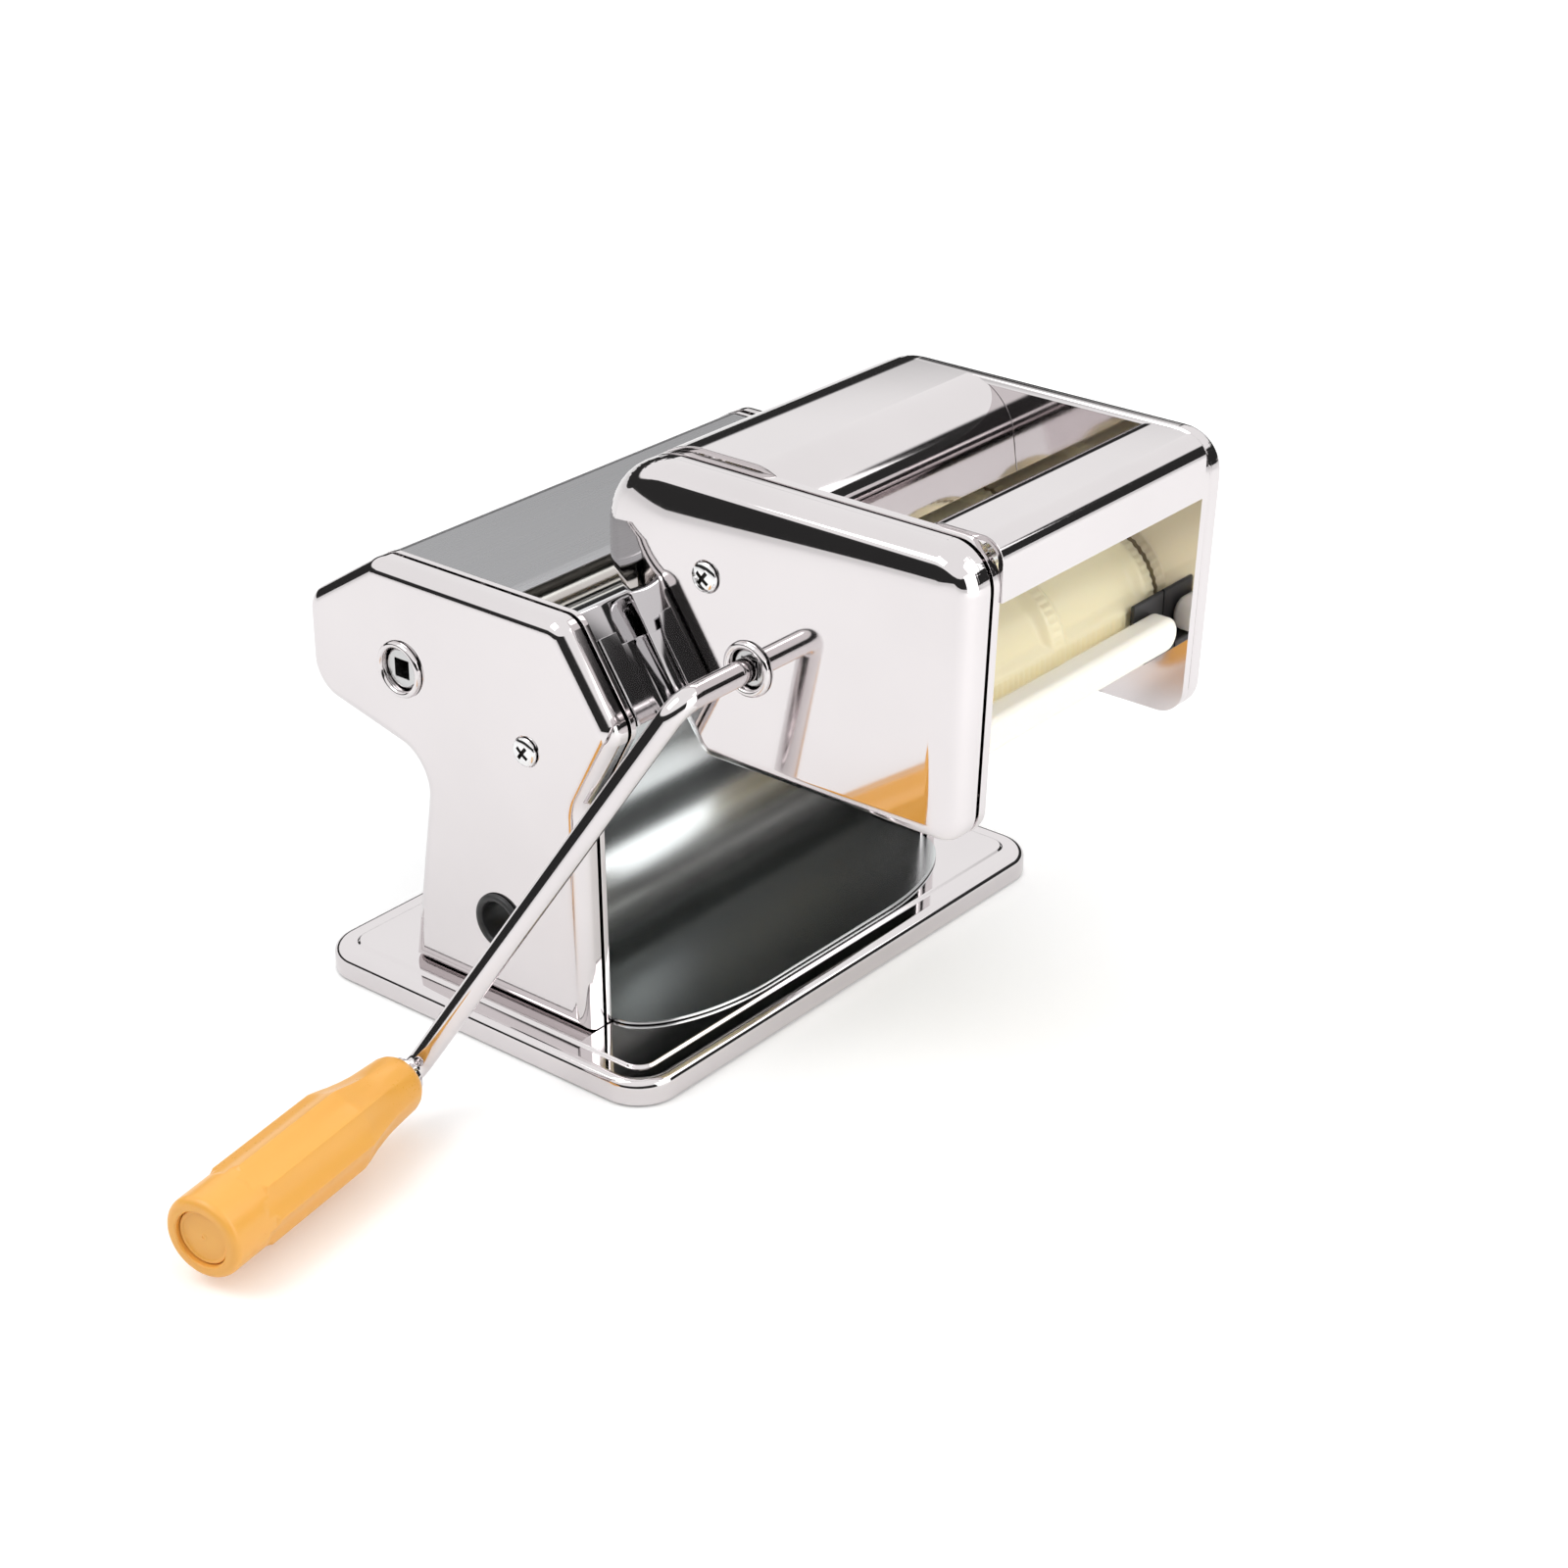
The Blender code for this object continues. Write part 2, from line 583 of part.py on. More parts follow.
def build_casing(side, name):
    cap = pressed_cap(name, casing_outline(), side * CASING_RIM_X, side * CASING_FACE_X, CASING_ROUND)
    holes = bmesh.new()
    x0, x1 = side * (CASING_FACE_X - PRESSED - OVERRUN), side * (CASING_FACE_X + OVERRUN)
    cylinder_x(holes, ROD_FRONT, SCREW_SHANK + GAP, x0, x1, sides=12)
    if side == NEAR:
        cylinder_x(holes, (CRANK_GEAR_Y, CRANK_GEAR_Z), HUB_RADIUS + RUN + RING_WALL + GAP, x0, x1)
        cylinder_x(holes, CLAMP, CLAMP_RADIUS + CLAMP_WALL + GAP, x0, x1)
    else:
        cylinder_x(holes, (FRONT_Y, ROLLER_Z), DIAL_SPINDLE + RUN, x0, x1)
    boolean(cap, holes)


def block_slot(clear):
    """The slot of a bearing block, in Y and Z, with a clearance all round."""
    low_y = FRONT_Y - CAM_START - BLOCK_END - NIP_TRAVEL - clear
    half = BLOCK_HALF + clear
    return (low_y, ROLLER_Z - half), (FRONT_Y + half, ROLLER_Z + half)


def build_frame_plate(side, name):
    bm = bmesh.new()
    extrude_outline(bm, casing_outline(), side * INNER_X, side * PLATE_X)
    plate = node(name, bm, chrome())
    for y in lug_rows():
        low, high = y - LUG_WIDTH / 2, y + LUG_WIDTH / 2
        lug = bmesh.new()
        side_box(lug, side, INNER_X, PLATE_X, low, high, BASE_UNDER - LUG_THICK, FOOT_Z + OVERRUN)
        boolean(plate, lug, "UNION")
        toe = bmesh.new()
        side_box(toe, side, INNER_X + GAP, PLATE_X + LUG_TOE, low + LUG_INSET, high - LUG_INSET,
                 BASE_UNDER - LUG_THICK, BASE_UNDER)
        boolean(plate, toe, "UNION")
    holes = bmesh.new()
    x0, x1 = side * (INNER_X - OVERRUN), side * (PLATE_X + OVERRUN)
    cylinder_x(holes, (REAR_Y, ROLLER_Z), JOURNAL_RADIUS + RUN + BUSH_WALL + GAP, x0, x1)
    cylinder_x(holes, ROD_FRONT, SCREW_SHANK + GAP, x0, x1, sides=16)
    for place in (ROD_BACK, ROD_LOW):
        cylinder_x(holes, place, TENON_RADIUS + GAP, x0, x1, sides=16)
    slot_low, slot_high = block_slot(SLIDE)
    side_box(holes, side, INNER_X - OVERRUN, PLATE_X + OVERRUN, slot_low[0], slot_high[0], slot_low[1],
             slot_high[1])
    if side == NEAR:
        cylinder_x(holes, (CRANK_GEAR_Y, CRANK_GEAR_Z), HUB_RADIUS + RUN, x0, x1)
        cylinder_x(holes, CLAMP, CLAMP_RADIUS + CLAMP_WALL + GAP, x0, x1)
    boolean(plate, holes)


def build_screws(centre, face_x, tip_x, names):
    """A domed screw along X on each side, through the cap into the end of the tie rod behind it."""
    for side, name in names:
        head, tip = side * (face_x + GAP), side * (tip_x + GAP)
        rise = side * SCREW_HEAD_RISE
        profile = [(head + rise, 0), (head + rise, SCREW_HEAD * 0.35), (head + rise * 0.7, SCREW_HEAD * 0.75),
                   (head, SCREW_HEAD), (head, SCREW_SHANK), (tip, SCREW_SHANK), (tip, 0)]
        bm = bmesh.new()
        turned(bm, profile, at(*centre), sides=16)
        node(name, bm, chrome())


def build_tie_rod(name, centre, inner_x, plate_x, radius, tenon):
    """A rod between two plates; a tenon radius gives it riveted ends in the plates' holes."""
    end = inner_x - GAP
    profile = [(-end, 0), (-end, radius), (end, radius), (end, 0)]
    if tenon:
        tip = plate_x + END_PROUD
        profile = [(-tip, 0), (-tip, tenon), (-end, tenon), (-end, radius),
                   (end, radius), (end, tenon), (tip, tenon), (tip, 0)]
    bm = bmesh.new()
    turned(bm, profile, at(*centre), sides=14)
    node(name, bm, turned_steel())


def ring_in_cover(bm, centre, face_x, outer, inner, spigot, depth, sides=20):
    """A ring that sits on a side face with a spigot in the face's hole."""
    side = math.copysign(1, face_x)
    seat, top = face_x + side * GAP, face_x + side * (GAP + RING_RISE)
    profile = [(top, inner), (top, outer - RING_CHAMFER), (seat + side * RING_EDGE, outer), (seat, outer),
               (seat, spigot), (face_x - side * depth, spigot), (face_x - side * depth, inner)]
    turned(bm, profile, at(*centre), sides=sides, closed=True)


def build_side_rings():
    bm = bmesh.new()
    inner = HUB_RADIUS + RUN
    ring_in_cover(bm, (CRANK_GEAR_Y, CRANK_GEAR_Z), -CASING_FACE_X, RING_RADIUS, inner, inner + RING_WALL,
                  RING_SPIGOT)
    node("crank_hole_ring", bm, chrome())
    bm = bmesh.new()
    depth = CASING_FACE_X - INNER_X
    ring_in_cover(bm, CLAMP, -CASING_FACE_X, CLAMP_RADIUS + CLAMP_WALL + CLAMP_FLANGE, CLAMP_RADIUS,
                  CLAMP_RADIUS + CLAMP_WALL, depth)
    node("clamp_socket", bm, black_plastic())


# Sheet work between the plates
def build_sheets():
    x = INNER_X - GAP
    top = CASING_TOP - HOOD_DROP
    back = HEAD_BACK_Y - HOOD_INSET
    hood = [
        (NIP_Y + HOOD_EDGE, top - HOOD_FOLD_DROP, 0),
        (NIP_Y + HOOD_EDGE + HOOD_FOLD, top, HOOD_FOLD_ROUND),
        (TOP_BACK_Y, top, CORNER),
        (back, CASING_TOP - CHAMFER_DROP, CORNER),
        (back, CASING_TOP - HEAD_DROP + HOOD_UNDER, HEAD_CORNER - HOOD_UNDER),
        (NECK_Y + HOOD_END, CASING_TOP - NECK_DROP + HOOD_END_RISE, 0),
    ]
    folded_sheet("roller_hood", rounded(hood, steps=4, closed=False), x, (REAR_Y, ROLLER_Z), satin_steel())
    bed = BASE_HEIGHT + GAP
    bow = apron_front()
    apron = [(APRON_BACK_Y, CASING_TOP - APRON_DROP, 0), (APRON_BACK_Y, bed, APRON_BEND), (bow, bed, 0)]
    path = rounded(apron, steps=10, closed=False)
    scoop = folded_sheet("apron", path, x, (NIP_Y, ROLLER_Z), chrome())
    trim = bmesh.new()
    steps = 8
    wide, middle, past = x + 4 * OVERRUN, x * (1 - APRON_BOW), bow - 4 * OVERRUN
    for side in (NEAR, FAR):
        points = [(side * wide, FOOT_FRONT_Y + APRON_BOW_START)]
        for step in range(steps + 1):
            angle = math.pi / 2 * step / steps
            points.append((side * (middle + (x - middle) * math.cos(angle)),
                           FOOT_FRONT_Y + (bow - FOOT_FRONT_Y) * math.sin(angle)))
        points += [(side * (middle - OVERRUN), past), (side * wide, past)]
        face = trim.faces.new([trim.verts.new((px, py, bed - 2 * OVERRUN)) for px, py in points])
        made = bmesh.ops.extrude_face_region(trim, geom=[face])
        verts = [item for item in made["geom"] if isinstance(item, bmesh.types.BMVert)]
        bmesh.ops.translate(trim, verts=verts, vec=(0, 0, SHEET + 4 * OVERRUN))
    boolean(scoop, trim)


def apron_front():
    return -BASE_HALF_Y + BASE_RIM + APRON_MARGIN


def build_front_panel():
    x = INNER_X - GAP
    corner = on_incline(0, 0, -PANEL_SET_BACK)
    top = CASING_TOP - PANEL_DROP
    lift = (top - corner.z) / math.cos(INCLINE)
    start = on_incline(0, -lift, -PANEL_SET_BACK)
    end = on_incline(0, PANEL_LENGTH, -PANEL_SET_BACK)
    path = [(start.y + PANEL_LIP, top - PANEL_LIP_DROP, 0), (start.y, top, PANEL_FOLD), (end.y, end.z, 0)]
    folded_sheet("front_panel", rounded(path, steps=3, closed=False), x, (FRONT_Y, ROLLER_Z), chrome())


def incline_prism(bm, section, start, end):
    """Extrudes an (x, out) section down the incline."""
    verts = [bm.verts.new(on_incline(x, start, out)) for x, out in section]
    face = bm.faces.new(verts)
    made = bmesh.ops.extrude_face_region(bm, geom=[face])
    moved = [item for item in made["geom"] if isinstance(item, bmesh.types.BMVert)]
    bmesh.ops.translate(bm, verts=moved, vec=DOWN * (end - start))


def build_guide_rails():
    for side, name in ((NEAR, "near_guide_rail"), (FAR, "far_guide_rail")):
        outer = side * (INNER_X - GAP)
        wall = side * (INNER_X - GAP - RAIL_WALL)
        lip = side * (INNER_X - GAP - RAIL_LIP - RAIL_WALL)
        low, high = GAP - PANEL_SET_BACK, RAIL_RISE
        under = high - RAIL_LIP_THICK
        section = [(outer, low), (outer, high), (lip, high), (lip, under), (wall, under), (wall, low)]
        bm = bmesh.new()
        incline_prism(bm, section, RAIL_START, RAIL_END)
        rail = node(name, bm, chrome())
        stop = bmesh.new()
        middle = (under + high) / 2
        section = [(outer, low), (outer, middle), (lip, middle), (lip, low)]
        incline_prism(stop, section, RAIL_END - RAIL_STOP, RAIL_END)
        boolean(rail, stop, "UNION")


def build_scrapers():
    """A blade under each smooth roller, leaning on it near the nip."""
    x = INNER_X - GAP
    lean, rise = math.sin(SCRAPER_LEAN), math.cos(SCRAPER_LEAN)
    for name, sign, axis, length in (("rear_scraper", 1, REAR_Y, REAR_SCRAPER),
                                     ("front_scraper", -1, FRONT_Y, FRONT_SCRAPER)):
        away = Vector((-sign * math.cos(SCRAPER_CONTACT), -math.sin(SCRAPER_CONTACT)))
        tip = Vector((axis, ROLLER_Z)) + away * (ROLLER_RADIUS + RUN)
        run = Vector((sign * lean, -rise))
        thick = Vector((sign * rise, lean)) * SHEET
        bm = bmesh.new()
        heel = tip + run * length
        lip = tip + (thick + run * SHEET) * 0.4
        extrude_outline(bm, [tip - thick * 0.2, heel - thick, heel, lip], -x, x)
        node(name, bm, satin_steel())


# Smooth rollers, their gears and the crank gear
def shaft_profile(body_half, body_radius, journal_radius, near_end, far_end):
    return [(-near_end, 0), (-near_end, journal_radius), (-body_half, journal_radius),
            (-body_half, body_radius - CHAMFER), (-body_half + CHAMFER, body_radius),
            (body_half - CHAMFER, body_radius), (body_half, body_radius - CHAMFER), (body_half, journal_radius),
            (far_end, journal_radius), (far_end, 0)]


def build_smooth_rollers():
    half = ROLLER_LENGTH / 2
    near_end = GEAR_X1 + END_PROUD
    for name, y in (("rear_roller", REAR_Y), ("front_roller", FRONT_Y)):
        bm = bmesh.new()
        profile = shaft_profile(half, ROLLER_RADIUS, JOURNAL_RADIUS, near_end, BLOCK_X - GAP)
        turned(bm, profile, at(y, ROLLER_Z), sides=28)
        node(name, bm, turned_steel())
    rear_phase = 0.0
    front_phase = meshing_phase(rear_phase, math.pi, GEAR_TEETH)
    crank_phase = meshing_phase(rear_phase, -CRANK_GEAR_ANGLE, GEAR_TEETH)
    bore = JOURNAL_RADIUS + GAP
    span = (AXIS_SPACING, GEAR_TEETH, -GEAR_X1, -GEAR_X0)
    gear_node("rear_roller_gear", (REAR_Y, ROLLER_Z), *span, rear_phase, bore, gear_steel())
    gear_node("front_roller_gear", (FRONT_Y, ROLLER_Z), *span, front_phase, bore, gear_steel())
    crank_gear = gear_node("crank_gear", (CRANK_GEAR_Y, CRANK_GEAR_Z), *span, crank_phase, 0, gear_steel())
    add_crank_hub(crank_gear)
    for side, name in ((NEAR, "near_roller_bush"), (FAR, "far_roller_bush")):
        bm = bmesh.new()
        inner, outer = JOURNAL_RADIUS + RUN, JOURNAL_RADIUS + RUN + BUSH_WALL
        x0, x1 = side * (INNER_X + GAP), side * (PLATE_X - GAP)
        turned(bm, [(x0, inner), (x0, outer), (x1, outer), (x1, inner)], at(REAR_Y, ROLLER_Z), closed=True)
        node(name, bm, cream_plastic())


def socket_cut(target, centre, mouth_x, depth):
    """A square socket, open at its mouth on the near side."""
    cutter = bmesh.new()
    half = SOCKET_SIDE / 2
    box(cutter, (mouth_x - OVERRUN, centre[0] - half, centre[1] - half),
        (mouth_x + depth, centre[0] + half, centre[1] + half))
    boolean(target, cutter)


def add_crank_hub(gear):
    """The crank gear's hub runs in the frame plate and takes the crank's square end."""
    centre = (CRANK_GEAR_Y, CRANK_GEAR_Z)
    mouth, end = -(CASING_FACE_X - SOCKET_RECESS), -(INNER_X - HUB_TAIL)
    hub = bmesh.new()
    cylinder_x(hub, centre, HUB_RADIUS, mouth, end, sides=20)
    boolean(gear, hub, "UNION")
    socket_cut(gear, centre, mouth, end - mouth - HUB_TAIL)


# Thickness setting: sliding blocks, a cam disc and the dial
def build_bearing_blocks():
    low, high = block_slot(0)
    low = (low[0] + NIP_TRAVEL, low[1])
    for side, name in ((NEAR, "near_bearing_block"), (FAR, "far_bearing_block")):
        bm = bmesh.new()
        side_box(bm, side, INNER_X + GAP, BLOCK_X, low[0], high[0], low[1], high[1])
        block = node(name, bm, gear_steel())
        if side == FAR:
            pin = bmesh.new()
            pin_end = BLOCK_X + GAP + CAM_THICK
            cylinder_x(pin, (FRONT_Y - CAM_START, ROLLER_Z), CAM_PIN, BLOCK_X - OVERRUN, pin_end)
            boolean(block, pin, "UNION")
        hole = bmesh.new()
        cylinder_x(hole, (FRONT_Y, ROLLER_Z), JOURNAL_RADIUS + RUN, side * (INNER_X - OVERRUN),
                   side * (BLOCK_X + OVERRUN))
        boolean(block, hole)


def build_dial():
    centre = (FRONT_Y, ROLLER_Z)
    disc_x0 = BLOCK_X + GAP
    disc_x1 = disc_x0 + CAM_THICK
    spindle_end = CASING_FACE_X + DIAL_HEIGHT - DIAL_CROWN
    disc_radius = CAM_START + NIP_TRAVEL + CAM_PIN + CAM_RIM
    bm = bmesh.new()
    turned(bm, [(disc_x0, 0), (disc_x0, disc_radius), (disc_x1, disc_radius), (disc_x1, DIAL_SPINDLE),
                (spindle_end, DIAL_SPINDLE), (spindle_end, 0)], at(*centre), sides=32)
    cam = node("dial_cam", bm, gear_steel())
    groove = bmesh.new()
    half = CAM_PIN + RUN
    run_on = half / CAM_START
    steps = 16
    inner, outer = [], []
    for step in range(steps + 1):
        turn = (DIAL_TURN + 2 * run_on) * step / steps - run_on
        angle = math.pi - turn
        reach = CAM_START + NIP_TRAVEL * min(max(turn / DIAL_TURN, 0), 1)
        for side, points in ((-half, inner), (half, outer)):
            points.append(on_circle(centre, reach + side, angle))
    extrude_outline(groove, inner + outer[::-1], disc_x0 - OVERRUN, disc_x1 + OVERRUN)
    boolean(cam, groove)

    bm = bmesh.new()
    seat = CASING_FACE_X + GAP
    bore = DIAL_SPINDLE + RUN
    turned(bm, [(seat, bore), (seat, DIAL_PLATE_RADIUS), (seat + DIAL_PLATE, DIAL_PLATE_RADIUS),
                (seat + DIAL_PLATE, bore)], at(*centre), sides=32, closed=True)
    node("dial_plate", bm, chrome())

    bm = bmesh.new()
    base_x = seat + DIAL_PLATE + GAP
    top_x = CASING_FACE_X + DIAL_HEIGHT
    bore_end = spindle_end + 2 * GAP
    waist = DIAL_RADIUS - DIAL_WAIST
    turned(bm, [(top_x, 0), (top_x, waist - DIAL_TAPER - DIAL_EDGE), (top_x - DIAL_EDGE, waist - DIAL_TAPER),
                (base_x + DIAL_SKIRT + DIAL_SLOPE, waist), (base_x + DIAL_SKIRT, DIAL_RADIUS),
                (base_x, DIAL_RADIUS), (base_x, bore), (bore_end, bore), (bore_end, 0)], at(*centre), sides=32)
    node("dial_knob", bm, black_plastic())


# Ravioli head: caps, plates and what holds them together
def head_outline():
    back_n = -GAP
    rear = TOP_FRONT_Y + HEAD_REAR
    top_z, floor_z = CASING_TOP + HEAD_TOP, CASING_TOP + HEAD_FLOOR

    def back_edge(z):
        return TOP_FRONT_Y - back_n / math.cos(INCLINE) + (z - CASING_TOP) * SLOPE

    bend_z = CASING_TOP + (rear - back_edge(CASING_TOP)) / SLOPE
    corners = [
        (rear, top_z, COVER_BACK_CORNER),
        (rear, bend_z, COVER_CORNER),
        (back_edge(floor_z), floor_z, CORNER),
        (TOP_FRONT_Y + HEAD_FRONT + HEAD_FRONT_LEAN, floor_z, COVER_CORNER),
        (TOP_FRONT_Y + HEAD_FRONT, top_z, COVER_CORNER),
    ]
    return rounded(corners, steps=5)


def head_rods():
    """Where the screw's rod, the low rod and the front rod join the head's plates."""
    return (head_place(HEAD_SCREW_Y, HEAD_SCREW_RISE),
            head_place(HEAD_LOW_ROD_Y, HEAD_FLOOR + HEAD_LOW_ROD_RISE),
            head_place(HEAD_FRONT + HEAD_FRONT_ROD_IN, HEAD_TOP - HEAD_FRONT_ROD_DROP))


def build_head_covers():
    for side, name in ((NEAR, "head_near_cover"), (FAR, "head_far_cover")):
        cap = pressed_cap(name, head_outline(), side * COVER_RIM_X, side * COVER_FACE_X, COVER_ROUND)
        holes = bmesh.new()
        x0, x1 = side * (COVER_FACE_X - PRESSED - OVERRUN), side * (COVER_FACE_X + OVERRUN)
        cylinder_x(holes, head_rods()[0], SCREW_SHANK + GAP, x0, x1, sides=16)
        if side == NEAR:
            cylinder_x(holes, DRIVE, RAVIOLI_HUB + RUN + HEAD_RING_WALL + GAP, x0, x1)
        boolean(cap, holes)


def build_head_plates():
    for side, name in ((NEAR, "head_near_plate"), (FAR, "head_far_plate")):
        bm = bmesh.new()
        extrude_outline(bm, head_outline(), side * HEAD_INNER_X, side * HEAD_PLATE_X)
        plate = node(name, bm, chrome())
        holes = bmesh.new()
        x0, x1 = side * (HEAD_INNER_X - OVERRUN), side * (HEAD_PLATE_X + OVERRUN)
        cylinder_x(holes, DRIVE, (RAVIOLI_HUB if side == NEAR else RAVIOLI_SHAFT) + RUN, x0, x1)
        cylinder_x(holes, DRIVEN, RAVIOLI_SHAFT + RUN, x0, x1)
        for place, radius in zip(head_rods(), (SCREW_SHANK, TENON_RADIUS, TENON_RADIUS)):
            cylinder_x(holes, place, radius + GAP, x0, x1, sides=12)
        boolean(plate, holes)


def build_head_ring():
    bm = bmesh.new()
    inner = RAVIOLI_HUB + RUN
    ring_in_cover(bm, DRIVE, -COVER_FACE_X, HEAD_RING_RADIUS, inner, inner + HEAD_RING_WALL, RING_SPIGOT)
    node("head_socket_ring", bm, chrome())


def build_head_hoods():
    x = HEAD_INNER_X - GAP
    well_rear, well_front = DRIVE[0] - WELL_REAR, DRIVEN[0] - WELL_FRONT
    lip_z = DRIVE[1] + RAVIOLI_RADIUS + WELL_LIP
    crest = CASING_TOP + HEAD_TOP + REAR_HOOD_PROUD
    rear = TOP_FRONT_Y + HEAD_REAR - REAR_HOOD_INSET
    path = [(rear - REAR_HOOD_LEAN, CASING_TOP + REAR_HOOD_FOOT, 0), (rear, crest, REAR_HOOD_ROUND),
            (well_rear + REAR_WELL_LEAN, crest, REAR_WELL_ROUND), (well_rear, lip_z, 0)]
    folded_sheet("rear_hood", rounded(path, steps=8, closed=False), x, DRIVE, chrome())
    front = TOP_FRONT_Y + HEAD_FRONT + FRONT_HOOD_INSET
    top = CASING_TOP + HEAD_TOP + FRONT_HOOD_PROUD
    path = [(front, CASING_TOP + FRONT_HOOD_FOOT, 0), (front, top, FRONT_HOOD_ROUND),
            (well_front - FRONT_WELL_LEAN, top, FRONT_WELL_ROUND), (well_front, lip_z, 0)]
    folded_sheet("front_hood", rounded(path, steps=6, closed=False), x, DRIVEN, chrome())


def build_exit_bar():
    x0, x1 = -(HEAD_INNER_X - GAP), HEAD_INNER_X - BAR_SHORT
    profile = [(x0, 0), (x0, BAR_RADIUS)]
    steps = 4
    for step in range(steps):
        angle = math.pi / 2 * step / steps
        profile.append((x1 - BAR_RADIUS * (1 - math.sin(angle)), BAR_RADIUS * math.cos(angle)))
    profile.append((x1, 0))
    bm = bmesh.new()
    turned(bm, profile, at(*BAR), sides=20)
    node("exit_bar", bm, cream_plastic())
    y, z = BAR
    back = y + BAR_RADIUS + GAP
    shelf = z - BAR_RADIUS - GAP
    top, front = z + CLIP_RISE, y - BAR_RADIUS
    outline = [(back + CLIP_WALL, top), (back, top), (back, shelf), (front, shelf),
               (front, shelf - CLIP_SHELF), (back + CLIP_WALL, shelf - CLIP_SHELF)]
    bm = bmesh.new()
    extrude_outline(bm, outline, HEAD_INNER_X - CLIP_LENGTH, HEAD_INNER_X - GAP)
    node("bar_clip", bm, black_plastic())


def build_stripper():
    """A moulded frame under the ravioli rollers: two blades either side of the way out."""
    x = HEAD_INNER_X - GAP
    middle = (DRIVE[0] + DRIVEN[0]) / 2
    floor = CASING_TOP + HEAD_FLOOR + STRIPPER_RISE
    reach = RAVIOLI_SPACING / 2 - STRIPPER_OPENING / 2 - STRIPPER_BLADE
    top = DRIVE[1] - math.sqrt((RAVIOLI_RADIUS + RUN) ** 2 - reach ** 2)
    near, far = STRIPPER_OPENING / 2, STRIPPER_OPENING / 2 + STRIPPER_BLADE
    frame = None
    for sign in (-1, 1):
        bm = bmesh.new()
        outline = [(near, floor), (near, top), (far, top - STRIPPER_BEVEL), (far, floor)]
        extrude_outline(bm, [(middle + sign * y, z) for y, z in outline], -x, x)
        if frame is None:
            frame = node("stripper_frame", bm, cream_plastic())
        else:
            boolean(frame, bm, "UNION")
    for side in (NEAR, FAR):
        bridge = bmesh.new()
        side_box(bridge, side, x - STRIPPER_BRIDGE, x, middle - near - OVERRUN, middle + near + OVERRUN,
                 floor, floor + STRIPPER_BRIDGE_HEIGHT)
        boolean(frame, bridge, "UNION")


def build_hook_tabs():
    """Tongues on the head's plates that hang in the machine's guide rails."""
    thick_low, thick_high = SLIDE - PANEL_SET_BACK, RAIL_RISE - RAIL_LIP_THICK - SLIDE
    for side, name in ((NEAR, "near_hook_tab"), (FAR, "far_hook_tab")):
        outer = side * (INNER_X - GAP - RAIL_WALL - SLIDE)
        inner = side * HEAD_INNER_X
        end = RAIL_END - RAIL_STOP - GAP
        corners = [(inner, TAB_START, 0), (outer, TAB_START, TAB_CORNER), (outer, end, 0), (inner, end, 0)]
        outline = rounded(corners, steps=5)
        bm = bmesh.new()
        face = bm.faces.new([bm.verts.new(on_incline(x, down, thick_low)) for x, down in outline])
        made = bmesh.ops.extrude_face_region(bm, geom=[face])
        verts = [item for item in made["geom"] if isinstance(item, bmesh.types.BMVert)]
        bmesh.ops.translate(bm, verts=verts, vec=OUT * (thick_high - thick_low))
        node(name, bm, chrome())


# Ravioli rollers with square pockets, their shafts and gears
def pocket_radius(x, angle):
    """The roller's radius: ridges round each pocket, a dished floor inside."""
    edge_x = (x + RAVIOLI_HALF) % CELL_PITCH
    from_ridge_x = min(abs(edge_x - CELL_RIDGE / 2), abs(CELL_PITCH - edge_x + CELL_RIDGE / 2))
    from_ridge_x -= CELL_RIDGE / 2
    step = 2 * math.pi / CELLS_ROUND
    from_ridge_a = min(angle % step, step - angle % step) * RAVIOLI_RADIUS - CELL_RIDGE / 2
    inside = min(from_ridge_x, from_ridge_a)
    return RAVIOLI_RADIUS - CELL_DEPTH * min(max(inside / CELL_FLANK, 0), 1)


def build_ravioli_roller(name, centre, sense):
    bm = bmesh.new()
    around = 36
    stations = []
    for cell in range(CELLS_ACROSS):
        start = -RAVIOLI_HALF + cell * CELL_PITCH
        pocket = start + CELL_RIDGE
        stations += [start, pocket, pocket + CELL_FLANK, start + CELL_PITCH - CELL_FLANK]
    stations += [RAVIOLI_HALF - CELL_RIDGE, RAVIOLI_HALF]
    loops = []
    bore = RAVIOLI_SHAFT + GAP
    for x in stations:
        loop = []
        for step in range(around):
            angle = 2 * math.pi * step / around
            radius = pocket_radius(x, angle)
            turn = angle if sense > 0 else math.pi - angle
            loop.append(bm.verts.new((x, *on_circle(centre, radius, turn))))
        loops.append([bm.edges.new((loop[i - 1], loop[i])) for i in range(around)])
    for first, second in zip(loops, loops[1:]):
        bmesh.ops.bridge_loops(bm, edges=first + second)
    bmesh.ops.contextual_create(bm, geom=loops[0])
    bmesh.ops.contextual_create(bm, geom=loops[-1])
    roller = node(name, bm, cream_plastic())
    hole = bmesh.new()
    cylinder_x(hole, centre, bore, -RAVIOLI_HALF - OVERRUN, RAVIOLI_HALF + OVERRUN)
    boolean(roller, hole)


